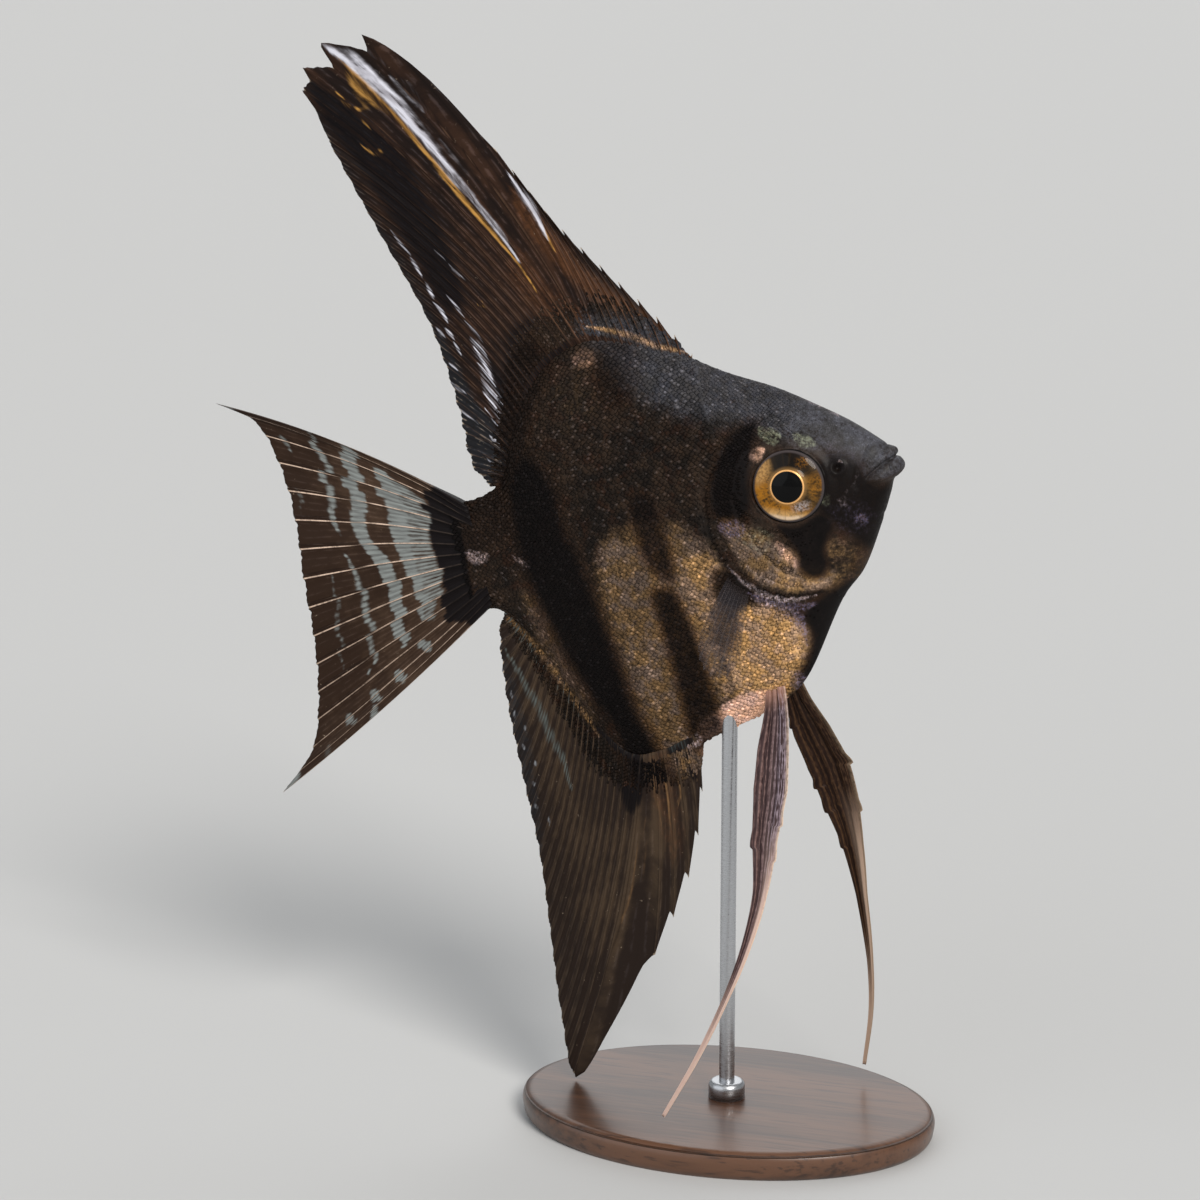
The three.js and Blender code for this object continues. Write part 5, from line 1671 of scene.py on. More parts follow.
@dataclass(frozen=True)
class MedianFin:
    """An unpaired fin: its outline, its rays and its marks.

    fan pairs shares of the base with the shares of the margin that its rays reach. bow is the bend
    of the first and last ray, as a share of their length.
    """

    name: str
    base: Points
    margin: Points
    fan: Points
    bow: tuple[float, float]
    spines: int
    soft_rays: int
    spine_share: float
    spine_notch: float
    ripple: float
    markings: Markings
    slits: tuple[tuple[int, int, float], ...] = ()  # two of the margin's points and the depth between
    root_profile: Points = ((0, 0.75), (3.2, 0.62), (8.5, 0.25), (30, 0.2))  # half thickness by distance
    ray_notch: float = 0.045  # depth of a notch for each unit of the squared ray spacing
    deepest_notch: float = 0.3
    notch_place: float = 0.2
    margin_half: float = 0.1
    ray_half: float = 0.13
    fork: float = 0.19  # half the share of the spacing between the branches of a ray
    ragged: float = 0.35  # how far the marks of one membrane are shifted along it
    between: tuple[float, ...] = (0.0, 0.05, 0.11, 0.18, 0.25, 0.34, 0.45, 0.57, 0.7, 0.79, 0.86, 0.93)
    rows: int = 66

    def rays(self) -> list[tuple[float, bool]]:
        """Share of the base and whether it is a spine, for every ray."""
        spines = [(i / self.spines * self.spine_share, True) for i in range(self.spines)]
        shares = np.linspace(self.spine_share, 1, self.soft_rays)
        return spines + [(float(share), False) for share in shares]

    def surface(self) -> "FinSurface":
        """Works out the fin's middle surface and its thickness."""
        base, margin = Curve(self.base), Curve(self.margin)
        fan = np.array(self.fan, float)
        rays = self.rays()
        place, ray, notch, soft = [], [], [], []
        for i, (at, is_spine) in enumerate(rays):
            steps = self.between if i + 1 < len(rays) else (0.0,)
            following = rays[min(i + 1, len(rays) - 1)][0]
            ends = margin.by_length(np.interp([at, following], *fan.T))
            gap_squared = float(((ends[1] - ends[0]) ** 2).sum())
            deepest = self.spine_notch if is_spine else self.ray_notch * gap_squared
            for step in steps:
                place.append(at + (following - at) * step)
                ray.append(i + step)
                notch.append(deepest * np.interp(step, (0, self.notch_place, 1), (0, 1, 0)) ** 0.8)
                soft.append(0.0 if is_spine else 1.0)
        place, ray, notch, soft = (np.array(values) for values in (place, ray, notch, soft))
        reached = np.interp(place, *fan.T)
        knots = margin.length_at[::margin.steps] / margin.length_at[-1]
        for first, second, depth in self.slits:
            span = (reached - knots[first]) / (knots[second] - knots[first])
            notch = np.maximum(notch, depth * np.interp(span, (0, 0.16, 1), (0, 1, 0)) ** 0.85)
        root, tip = base.by_length(place), margin.by_length(reached)
        length = np.linalg.norm(tip - root, axis=1)
        fray = (0.10 * np.sin(ray * 23.0) + 0.06 * np.sin(ray * 61.0)) * soft
        tip = tip + (root - tip) * np.clip((notch + fray) / length, 0, self.deepest_notch)[:, None]
        t = np.concatenate([np.linspace(0, 0.955, self.rows - 4), [0.972, 0.986, 0.995, 1]])[:, None]
        bend = np.stack([tip[:, 1] - root[:, 1], root[:, 0] - tip[:, 0]], axis=1)
        bend *= np.interp(place, (0, 1), self.bow)[:, None]
        flat = root + (tip - root) * t[..., None] + bend * (4 * t * (1 - t))[..., None]
        share = ray - np.floor(ray)
        gap = np.linalg.norm(np.diff(flat, axis=1, append=flat[:, -1:]), axis=2)
        width = np.maximum(gap / np.diff(ray, append=ray[-1] + 1), 0.05)
        away = self._ray_distance(share, width, t, soft * self.fork)
        rib = np.exp(-(away / (self.ray_half * (1.25 - 0.65 * t))) ** 2)
        half = np.interp(length * t, *np.array(self.root_profile, float).T)
        half = self.margin_half + (half - self.margin_half) * (1 - t) * np.clip(length / 9, 0.25, 1)
        half = half * (1 - 0.3 * np.sin(np.pi * share) ** 2 * smoothstep(0.05, 0.2, t))
        half = half + 0.1 * rib * (1 - 0.45 * t)
        wave = self.ripple * t * np.sin(3 * np.pi * place) + 0.10 * np.sin(2 * np.pi * ray) * t
        centre = np.stack([flat[..., 0], wave, flat[..., 1]], axis=2)
        return FinSurface(centre, half, ray, t[:, 0], rib, length)

    def build(self, material: Material) -> None:
        """Makes the fin and stands it in for its solid."""
        made = self.surface()
        facing = np.zeros_like(made.centre)
        facing[..., 1] = 1
        fin = (made.ray, made.t[:, None], made.rib)
        mesh, source = blade_mesh(self.name + "_blade", made.centre, facing, made.half, fin)
        store(mesh, "edge", (made.length * (1 - made.t[:, None])).ravel()[source])
        store(mesh, "span", (made.length * made.t[:, None]).ravel()[source])
        along = unit(made.centre[-1] - made.centre[0])
        slip = np.random.default_rng(SEED).uniform(-self.ragged, self.ragged, len(self.rays()) * 2)
        moved = made.centre + along * slip[np.floor(made.ray * 2).astype(int)][:, None]
        self.markings.dress(mesh, moved.reshape(-1, 3)[source])
        add_piece(self.name + "_blade", mesh, material, (self.name,))

    @staticmethod
    def _ray_distance(share: Array, width: Array, t: Array, widest: Array) -> Array:
        """Distance to the nearest ray or branch, soft rays forking towards the margin."""
        fork = smoothstep(0.42, 0.9, t) * widest
        offsets = (share - fork, share + fork, 1 - share - fork, 1 - share + fork)
        return np.minimum.reduce([np.abs(offset) for offset in offsets]) * width


@dataclass(frozen=True)
class PelvicFin:
    """A long narrow pelvic fin. The path holds x, distance from the middle, z and width."""

    side: Side
    path: Points
    teeth: tuple[tuple[float, float, int], ...] = ()  # share of the way, depth, 1 for the front edge
    columns: int = 25
    rows: int = 240

    def build(self, material: Material) -> None:
        """Makes the fin and stands it in for its solid."""
        table = np.array(self.path, float)
        curve = Curve([(x, self.side.value * y, z) for x, y, z, _ in table])
        t = np.linspace(0, 1, self.rows)
        centre = curve.by_knot(t)
        along = unit(np.gradient(centre, axis=0))
        across = unit(np.cross(np.cross((1, 0, 0), along), along))
        across *= np.sign(across[:, :1])
        thin = np.cross(across, along)
        width = np.interp(t, np.linspace(0, 1, len(table)), table[:, 3])
        s = np.linspace(-1, 1, self.columns)
        s = np.sign(s) * np.abs(s) ** 0.9
        front, rear = np.full(self.rows, 0.5) * width, np.full(self.rows, 0.5) * width
        for at, depth, is_front in self.teeth:
            cut = depth * smoothstep(at - 0.035, at, t) * (t < at + 0.004)
            if is_front:
                front = front + cut * 0.6
            else:
                rear = rear + cut * 0.6
        reach = np.where(s[None, :] > 0, front[:, None], rear[:, None]) * s[None, :]
        fold = 0.16 * np.sin(s * 9.5)[None, :] * np.minimum(width, 3)[:, None] / 3
        cup = 0.16 * (1 - s ** 2)[None, :] * width[:, None]
        sheet = centre[:, None] + across[:, None] * reach[..., None] + thin[:, None] * (fold + cup)[..., None]
        facing = surface_directions(sheet)
        rib = np.cos(np.pi * 3.5 * (s + 1))[None, :] ** 2 * np.ones((self.rows, 1))
        half = np.interp(t, (0, 0.25, 1), (0.5, 0.2, 0.14))[:, None] * (0.55 + 0.45 * rib)
        half = np.minimum(half * (1 - 0.75 * s ** 8)[None, :], width[:, None] * 0.5)
        name = f"pelvic_{self.side.word}_blade"
        mesh, _ = blade_mesh(name, sheet, facing, half, (s * 0.5 + 0.5, t[:, None], rib))
        add_piece(name, mesh, material, (f"pelvic_fin_{self.side.word}",))


@dataclass(frozen=True)
class PectoralFin:
    """A small clear fan behind a gill cover."""

    side: Side
    root: Points = ((7.4, 5.6, -9.6), (8.4, 5.6, -11.2), (9.4, 5.2, -12.6))
    margin: Points = (
        (2, 8.8, -16.6), (1.4, 9.8, -19.8), (2.6, 10.4, -22.2), (4.8, 10.2, -22.8), (6.8, 9.2, -21))
    rays: int = 9
    rows: int = 44
    steps: int = 8

    def build(self, material: Material) -> None:
        """Makes the fin and stands it in for its solid."""
        count = (self.rays - 1) * self.steps + 1
        ray = np.linspace(0, self.rays - 1, count)
        share = ray - np.floor(ray)
        start = Curve(self.root).by_knot(ray / (self.rays - 1))
        end = Curve(self.margin).by_knot(ray / (self.rays - 1))
        end = end + (start - end) * (0.03 * np.sin(np.pi * share) ** 2)[:, None]
        t = np.linspace(0, 1, self.rows)[:, None]
        sheet = start + (end - start) * t[..., None]
        sheet[..., 1] += 0.5 * np.sin(np.pi * t) + 0.12 * t * np.sin(2 * np.pi * ray)
        sheet *= (1, self.side.value, 1)
        rib = np.exp(-(np.minimum(share, 1 - share) / 0.16) ** 2) * np.ones((self.rows, 1))
        half = 0.05 + 0.1 * rib * (1 - 0.6 * t) + 0.18 * np.exp(-t / 0.12)
        name = f"pectoral_{self.side.word}_blade"
        mesh, _ = blade_mesh(name, sheet, surface_directions(sheet), half, (ray, t, rib))
        add_piece(name, mesh, material, (f"pectoral_fin_{self.side.word}",))


DORSAL_MARKINGS = Markings(
    patches=(
        *patches(Mark.STREAK,
            (1.5, 0.6, (-32.4, 73.7), (-30.7, 72.9), (-28.6, 71.6), (-26.3, 68.9), (-24.2, 65.4),
             (-22.4, 61.5), (-20.5, 57.6), (-17.6, 50.6), (-16.4, 48), (-18.2, 49.6), (-21, 54.8),
             (-24.6, 61.9), (-28.4, 68.1)),
            (1, 0.24, (-22.8, 29.5), (-21.2, 28.9), (-20.5, 25.9), (-20.6, 22.8), (-20.1, 19.1),
             (-21.5, 16.1), (-22, 18.1), (-22.8, 20.7), (-22.8, 23.1), (-22.7, 26.1))),
        *patches(Mark.OLIVE,
            (1.3, 0.5, (-30.2, 69.5), (-28.7, 68.6), (-25.7, 64.2), (-24.7, 61.4), (-26.6, 63.1),
             (-28.4, 63.8), (-29.6, 65.7))),
        *patches(Mark.RUST,
            (2.2, 0.9, (9, 19), (4.6, 25), (-3, 34), (-8, 43), (-11, 48), (-10.4, 42), (-5.4, 33), (0, 27),
             (5, 21)),
            (3, 0.5, (-3, 27), (-9, 34), (-12, 40), (-15, 38), (-12, 30), (-7, 26))),
        *patches(Mark.DARK,
            (1.2, 0.7, (-20.7, 26), (-18.2, 20), (-17.5, 14), (-23.4, 8.6), (-22.9, 12.5), (-21.4, 16)),
            (3, 0.72, (-36, 70), (-31, 65), (-27, 60), (-24, 54), (-22, 44), (-22, 34), (-25, 34), (-28, 44),
             (-32, 56), (-36, 66)),
            (3, 0.6, (-8, 25), (-11, 30), (-16, 30), (-20, 22), (-19, 15), (-14, 21))),
        *patches(Mark.CLEAR,
            (2.6, 0.55, (-36, 64), (-32.6, 54), (-28.6, 40), (-26, 28), (-24.4, 16), (-23.6, 9), (-28, 6),
             (-30, 18), (-33, 44), (-38, 62)),
            (1.4, 1, (-27.4, 31.3), (-25.9, 27.6), (-24.4, 21), (-22, 15.2), (-23.2, 10), (-27.7, 8.5),
             (-29, 16.1), (-29, 25.6))),
    ),
    strokes=(
        *strokes(Mark.STREAK,
            (0.4, 0.75, (-18.6, 51), (-16.2, 46.6), (-14, 42), (-12.5, 37.6)),
            (0.7, 0.24, (-26.6, 71.6), (-25.4, 70.2), (-23.6, 67.6)),
            (0.7, 0.3, (-24.1, 67.2), (-22.7, 64.1), (-20.3, 60.6)),
            (0.6, 0.26, (-22.6, 66.5), (-20.8, 63.5), (-19.4, 60.2)),
            (0.4, 0.25, (-19.5, 58.1), (-18.1, 54.5), (-15.9, 50.1)),
            (0.5, 0.9, (-10.9, 50), (-10, 47.5), (-8.8, 44.4), (-7.9, 40)),
            (0.26, 0.5, (-29.8, 46.8), (-28.9, 44.6), (-27.9, 42.6)),
            (0.3, 0.75, (-28.2, 42.6), (-27.7, 41.3), (-27.3, 39.6)),
            (0.32, 0.7, (-26.9, 38.7), (-26.7, 37.3), (-26.4, 36)),
            (0.34, 0.75, (-26.5, 35.3), (-25.8, 34.2), (-25.3, 32.2)),
            (0.3, 0.7, (-26.2, 31.9), (-25.7, 31.1), (-25.2, 30)),
            (0.26, 0.6, (-25.3, 29.6), (-25, 28.6), (-24.7, 27.3)),
            (0.3, 0.7, (-27.3, 32), (-26.9, 31.1), (-26.4, 30.3)),
            (0.24, 0.6, (-26.9, 26.8), (-26.3, 26.1), (-25.8, 25.3)),
            (0.24, 0.55, (-27.7, 24.4), (-26.5, 22.9), (-25.4, 22.1)),
            (0.22, 0.5, (-28, 21.2), (-26.3, 19.1), (-25.1, 17.7)),
            (0.22, 0.7, (-22.5, 29.2), (-21.5, 27.8), (-20.7, 26.1)),
            (0.27, 0.95, (-22.4, 28.2), (-21.6, 25.6), (-21, 22.4)),
            (0.22, 0.9, (-22.6, 25.9), (-21.7, 24.2), (-20.8, 22.1)),
            (0.28, 1, (-22.5, 23.2), (-21.4, 21.1), (-20.1, 19.1)),
            (0.22, 0.9, (-22.9, 21.9), (-21.9, 20), (-21, 17.9)),
            (0.22, 0.65, (-23.1, 19.3), (-22.4, 17.5), (-21.6, 15.9)),
            (0.3, 0.6, (-23.7, 15.6), (-22.9, 14.7), (-22.3, 13.9)),
            (0.24, 0.4, (-25, 12.8), (-24.5, 11.9), (-23.9, 11.1)),
            (0.22, 0.35, (-24.2, 42.6), (-23.6, 41.7), (-23.1, 40.9)),
            (0.22, 0.4, (-22.6, 39.9), (-21.8, 38.5), (-20.6, 37)),
            (0.24, 0.55, (-24.3, 36), (-23.6, 34.7), (-22.7, 32.5)),
            (0.22, 0.5, (-22.8, 32.1), (-21.8, 30.4), (-21, 28.8)),
            (0.85, 1, (-32, 73.2), (-29.8, 71), (-26.7, 67.3), (-24, 62.9), (-21.2, 57.4), (-18.6, 51.8))),
        *strokes(Mark.OLIVE,
            (0.36, 1, (-32.6, 73.6), (-28.9, 68.7), (-25, 62.2), (-21.4, 55), (-18.5, 48.8), (-15.4, 43),
             (-12.8, 37.8), (-11.4, 33.6)),
            (0.2, 0.7, (-33.5, 67.8), (-31.9, 66.5), (-31.5, 65.1), (-30, 64.2), (-28.9, 63.7),
             (-27.4, 63.6)),
            (0.22, 0.6, (-30.6, 58.8), (-29.2, 57.5), (-27.7, 57.6)),
            (0.2, 0.5, (-29.7, 62.5), (-28.9, 60.9)),
            (0.3, 0.4, (-20.2, 33.4), (-19.3, 33.6), (-19.1, 33.1)),
            (0.4, 0.6, (-9.6, 46), (-8.4, 42.4), (-7.2, 38))),
    ))

ANAL_MARKINGS = Markings(
    patches=(
        *patches(Mark.TEAL,
            (1.4, 0.35, (-6.4, -33), (-9, -33.2), (-9.4, -31.6), (-6.4, -31.4))),
        *patches(Mark.RUST,
            (3, 0.4, (-10, -32), (-13.2, -33.4), (-14, -42), (-13.4, -50), (-10.4, -46), (-9.6, -38))),
        *patches(Mark.DARK,
            (1.6, 0.8, (-23, -19.4), (-14.7, -21), (-14, -29), (-13.3, -34), (-15, -39), (-17.8, -41),
             (-18.6, -33.7), (-19.6, -29.5), (-21.8, -24.4)),
            (1.4, 0.75, (-6, -31), (-9.6, -32), (-8.4, -36), (-6.6, -38))),
        *patches(Mark.CLEAR,
            (2, 0.6, (-30, -12), (-29, -22), (-30, -34), (-33, -46), (-36, -48), (-34, -30), (-32, -14))),
    ),
    strokes=(
        *strokes(Mark.OLIVE,
            (0.3, 0.5, (-12.5, -34), (-13.1, -39), (-13.4, -43.3)),
            (0.3, 0.6, (-9.2, -35.4), (-9.3, -38.7), (-10.4, -41)),
            (0.3, 0.55, (-11, -34.6), (-11.4, -39), (-12.2, -44)),
            (0.3, 0.4, (-17.5, -45), (-20.2, -51.6), (-23.7, -57)),
            (0.3, 0.35, (-15.6, -42), (-17, -47), (-19.4, -53))),
        *strokes(Mark.TEAL,
            (1, 0.7, (-28, -9), (-26.4, -12.6), (-24.6, -16.4), (-22.8, -20.6), (-21, -25.6)),
            (0.8, 0.6, (-29.3, -14), (-28, -19.2), (-26.8, -23.8), (-26.2, -27.9), (-25.4, -30.8),
             (-25.4, -36))),
        *(Stroke(Mark.STREAK, ((x, z), (x - 0.1, z - 0.9)), 0.3, 0.6) for x, z in (
            (-30.6, -17), (-30.2, -20.4), (-30.4, -23), (-29.6, -25.4), (-30.6, -28.2), (-29.4, -30.6),
            (-30.4, -33.4), (-31, -36.6), (-30, -39.4))),
    ))

CAUDAL_MARKINGS = Markings(
    patches=(
        *patches(Mark.STREAK,
            (0.7, 0.95, (-41.6, 14.7), (-40, 13.6), (-39, 9), (-39, 3), (-39.4, -3), (-40, -8.1),
             (-40.7, -6.5), (-41.3, 3.2), (-42, 9.8)),
            (0.9, 0.62, (-40.4, 13.4), (-38.4, 11.8), (-35.9, 8.5), (-35.9, 4), (-36.2, -1.4), (-36.8, -4.1),
             (-39.5, -8.3), (-40, -3), (-39.6, 4)),
            (0.7, 1, (-46, 19.4), (-44.3, 17.8), (-44.9, 10.8), (-45, 5.7), (-43, 1.6), (-43.4, -6.8),
             (-43.8, -10.7), (-45, -10.4), (-45, 0.8), (-47.2, 7.7), (-46.3, 17.1)),
            (0.3, 0.8, (-64, 30), (-60.6, 28.2), (-60.8, 27.6), (-63.4, 28.6)),
            (0.4, 0.7, (-70.4, -28.6), (-66, -26.6), (-66.4, -25.8), (-70, -27.6))),
        *patches(Mark.DARK,
            (1.3, 1, (-29, 12), (-34.6, 10.4), (-35.8, 8.2), (-35.9, 3.4), (-36.2, -2.1), (-36.9, -8.1),
             (-34.9, -9.4), (-30, -10))),
        *(Patch(Mark.STREAK, ((x - 0.5, z + 1), (x + 0.6, z + 0.9), (x + 0.4, z - 1), (x - 0.7, z - 0.8)),
                0.5, strength) for x, z, strength in (
            (-41.2, -11.4, 0.85), (-46.6, -15.2, 0.8), (-51.9, -19.7, 0.7), (-56.1, -19.9, 0.6),
            (-51.2, -17.2, 0.7), (-60.8, -24, 0.3))),
    ),
    strokes=(
        *strokes(Mark.STREAK,
            (0.62, 0.9, (-50.3, 22.3), (-50, 19.9), (-49.2, 18.1), (-49.6, 15), (-50.1, 11.5), (-49.7, 8.2),
             (-49.2, 6.6)),
            (0.6, 0.8, (-49.2, 4.1), (-48.6, 0), (-49, -4), (-49.4, -11.2), (-50.8, -13.7)),
            (0.4, 0.7, (-54.8, 22.6), (-54.2, 21.2), (-53.8, 19.8)),
            (0.4, 0.4, (-55, 14.8), (-54.6, 13), (-54.9, 10.4)),
            (0.45, 0.45, (-52.2, 1.8), (-52.7, -1.4), (-53.6, -4.6), (-54.3, -8), (-54.3, -13))),
    ))

DORSAL = MedianFin(
    "dorsal_fin",
    ((7.4, 18.4), (3.8, 20.6), (-5, 24.4), (-13, 22.4), (-18.3, 15.8), (-22.4, 8)),
    ((8.2, 20.2), (4.4, 26.2), (-1.6, 34.6), (-7, 43), (-10.4, 50.4), (-15, 59.6), (-20.8, 68.6),
     (-26.6, 73.6), (-33.1, 74.2), (-36.3, 71.5), (-37.1, 68.3), (-35, 59.8), (-31.6, 46.4), (-28.2, 32.4),
     (-27.4, 20), (-27.4, 12), (-25.4, 8.6)),
    ((0, 0), (0.33, 0.28), (0.36, 0.459), (0.39, 0.507), (0.421, 0.537), (0.451, 0.561), (0.482, 0.608),
     (1, 1)),
    (0.04, 0.04), 12, 22, 0.36, 1.7, 0.8, DORSAL_MARKINGS,
    ((7, 8, 3.2), (8, 9, 4.2), (9, 10, 1.8), (10, 11, 2.0)))

ANAL = MedianFin(
    "anal_fin",
    ((-3.8, -30.8), (-10.5, -32.4), (-15, -31.8), (-18, -27.6), (-22, -18), (-26.6, -8.4)),
    ((-4.9, -33.4), (-6.4, -40), (-10, -49), (-15.4, -57), (-21, -63.4), (-28.8, -71.6), (-36, -77.6),
     (-36, -68), (-34.4, -55), (-32.8, -44), (-31.9, -32), (-31, -20), (-29.5, -11), (-27.8, -8.4)),
    ((0, 0), (0.217, 0.255), (0.26, 0.442), (1, 1)),
    (-0.03, -0.03), 6, 24, 0.26, 2.0, -0.7, ANAL_MARKINGS)

CAUDAL = MedianFin(
    "caudal_fin",
    ((-29, 6.4), (-28.6, 3), (-28.6, -3), (-29.2, -7.4)),
    ((-63.2, 29.2), (-58.3, 25.2), (-56.4, 18), (-56, 10), (-56.8, 1.5), (-57.8, -6.6), (-60, -15),
     (-63.4, -23), (-69.4, -28.3)),
    ((0, 0), (1, 1)), (0.035, -0.015), 0, 16, 0.0, 0.0, 0.9, CAUDAL_MARKINGS,
    root_profile=((0, 1.25), (2.8, 1.1), (7.5, 0.3), (30, 0.2)), ray_notch=0.014, fork=0.05, ragged=0.7)

PELVIC_FINS = (
    PelvicFin(
        Side.RIGHT,
        ((8.3, 0.9, -26, 2.4), (7.8, 2.5, -30.2, 3.4), (6.6, 4.2, -35, 4.6), (5.4, 6, -40, 5),
         (3.8, 8, -45.4, 3.9), (1.6, 10.4, -53.1, 2.1), (-1.6, 12.4, -59.6, 1.4), (-5.9, 14, -66, 0.9),
         (-11.5, 15.2, -73, 0.7), (-18.3, 16, -80.3, 0.5)),
        ((0.42, 0.5, 1), (0.49, 0.45, 1), (0.47, 0.6, 0))),
    PelvicFin(
        Side.LEFT,
        ((9.9, 0.9, -26, 2.4), (9.7, 2.6, -30.4, 3.8), (10.1, 4, -35, 5.6), (10.7, 5.6, -40.5, 6.2),
         (10.7, 7, -45.8, 5.4), (10.4, 8.4, -52.9, 3.2), (9.4, 9.8, -60.6, 1.7), (7.7, 11.2, -70.9, 0.9),
         (5.7, 12.2, -78.2, 0.7), (2.4, 13, -86.3, 0.5)),
        ((0.19, 0.5, 0), (0.34, 0.8, 1), (0.4, 0.7, 0), (0.48, 0.6, 1), (0.47, 0.6, 0), (0.56, 0.5, 0))),
)


# ---- Eyes ----


@dataclass(frozen=True)
class Eyeball:
    """One eye: a flattened ball with a raised pupil, and the thin rim of skin that holds it."""

    side: Side
    tilt_forward: float = math.radians(6)
    tilt_up: float = math.radians(3)
    meridians: int = 128
    parallels: int = 90
    rim_radius: float = 5.08
    rim_half: float = 0.3

    def _turned(self, points: Array) -> Array:
        """Points of an eye that faces +Y at the origin, turned and set in its place."""
        c, s = math.cos(self.tilt_forward), math.sin(self.tilt_forward)
        x, y, z = points[..., 0], points[..., 1], points[..., 2]
        x, y = x * c + y * s, -x * s + y * c
        c, s = math.cos(self.tilt_up), math.sin(self.tilt_up)
        y, z = y * c - z * s, y * s + z * c
        turned = np.stack([x + EYE.x, (y + EYE.y) * self.side.value, z + EYE.z], axis=-1)
        return turned

    def build(self, eye: Material, skin: Material, markings: Markings) -> None:
        """Makes the eyeball and its rim.

        Args:
            eye: finish of the eyeball.
            skin: finish of the rim.
            markings: the markings that the rim shares with the skin.
        """
        turn = np.linspace(0, np.pi, self.parallels + 1)[1:-1, None]
        around = np.linspace(0, 2 * np.pi, self.meridians, endpoint=False)
        radius = EYE.radius * np.sin(turn) + 0 * around
        height = EYE.half_depth * np.cos(turn)
        front = height > 0
        lens = 0.22 * np.exp(-(radius / 2.3) ** 4) - 0.16 * bump(radius - 3.1, 1.0)
        height = height + np.where(front, lens + 0.1 * bump(radius - 2.2, 0.25), 0)
        local = np.stack([radius * np.cos(around), height + 0 * radius, radius * np.sin(around)], axis=-1)
        poles = np.array([[0, EYE.half_depth + 0.22, 0], [0, -EYE.half_depth, 0]])
        flat = np.vstack([local.reshape(-1, 3), poles])
        name = f"eyeball_{self.side.word}"
        faces = tube_faces(self.parallels - 1, self.meridians)
        mesh = make_mesh(name, FISH.place(self._turned(flat)), faces, flip=self.side is Side.LEFT)
        store(mesh, "eye", flat)
        add_piece(name, mesh, eye, (f"eye_{self.side.word}",))
        self._rim(skin, markings)

    def _rim(self, material: Material, markings: Markings) -> None:
        """Makes the rim of skin round the eyeball, thickest above it."""
        around = np.linspace(0, 2 * np.pi, 160, endpoint=False)[:, None]
        turn = np.linspace(0, 2 * np.pi, 20, endpoint=False)
        thick = 0.85 + 0.3 * np.sin(around) + 0.07 * np.sin(around * 9 + 1) + 0.05 * np.sin(around * 23)
        thick = thick * self.rim_half
        radius = self.rim_radius + thick * np.cos(turn)
        x, z = EYE.x + radius * np.cos(around), EYE.z + radius * np.sin(around)
        surface = Body().flank_y(
            EYE.x + self.rim_radius * np.cos(around), EYE.z + self.rim_radius * np.sin(around))
        y = surface - 0.12 + thick * 1.25 * np.sin(turn)
        points = np.stack([x, y * self.side.value + 0 * x, z], axis=-1)
        faces = grid_faces(len(around), len(turn), wrap=True)
        closing = np.stack([(len(around) - 1) * len(turn) + np.arange(len(turn)),
                            (len(around) - 1) * len(turn) + (np.arange(len(turn)) + 1) % len(turn),
                            (np.arange(len(turn)) + 1) % len(turn), np.arange(len(turn))], axis=1)
        mesh = make_mesh(f"eye_rim_{self.side.word}", FISH.place(points.reshape(-1, 3)), [faces, closing],
                         flip=self.side is Side.RIGHT)
        markings.dress(mesh)
        add_piece(f"eye_rim_{self.side.word}", mesh, material)


# ---- Stand ----


@dataclass(frozen=True)
class Turned:
    """A piece turned on the rod's axis from (radius, height) points, and stretched to an oval."""

    name: str
    profile: Points
    node: str
    slot: Slot
    stretch: tuple[float, float] = (1.0, 1.0)
    sides: int = 144

    def build(self, material: Material) -> None:
        """Makes the piece and stands it in for its solid."""
        radius, height = np.array(self.profile, float).T
        around = np.linspace(0, 2 * np.pi, self.sides, endpoint=False)
        x = radius[:, None] * np.cos(around) * self.stretch[0]
        y = radius[:, None] * np.sin(around) * self.stretch[1]
        points = np.stack([x, y, height[:, None] + 0 * x], axis=-1).reshape(-1, 3)
        points = np.vstack([points, [0, 0, height[0]], [0, 0, height[-1]]])
        mesh = make_mesh(self.name, points * METRES, tube_faces(len(radius), self.sides))
        add_piece(self.name, mesh, material, (self.node,))


def rounded(*corners: tuple[float, float, float], steps: int = 8) -> Points:
    """Rounds the corners of an open outline.

    Args:
        corners: radius, height and rounding of each corner.
        steps: points on each rounded corner.

    Returns:
        The outline's points.
    """
    places = np.array([corner[:2] for corner in corners], float)
    points: list[Point] = []
    for i, (_, _, size) in enumerate(corners):
        if size == 0:
            points.append(tuple(places[i]))
            continue
        before, after = places[i - 1] - places[i], places[i + 1] - places[i]
        start = places[i] + before / np.linalg.norm(before) * size
        end = places[i] + after / np.linalg.norm(after) * size
        for t in np.linspace(0, 1, steps):
            points.append(tuple((1 - t) ** 2 * start + 2 * t * (1 - t) * places[i] + t ** 2 * end))
    return tuple(points)


# ---- Studio ----


@dataclass(frozen=True)
class Lamp:
    """A soft lamp at infinity: the way to it, its power and how wide it looks in degrees."""

    name: str
    way: Point
    power: float
    width: float
    colour: Colour = (1.0, 1.0, 1.0)


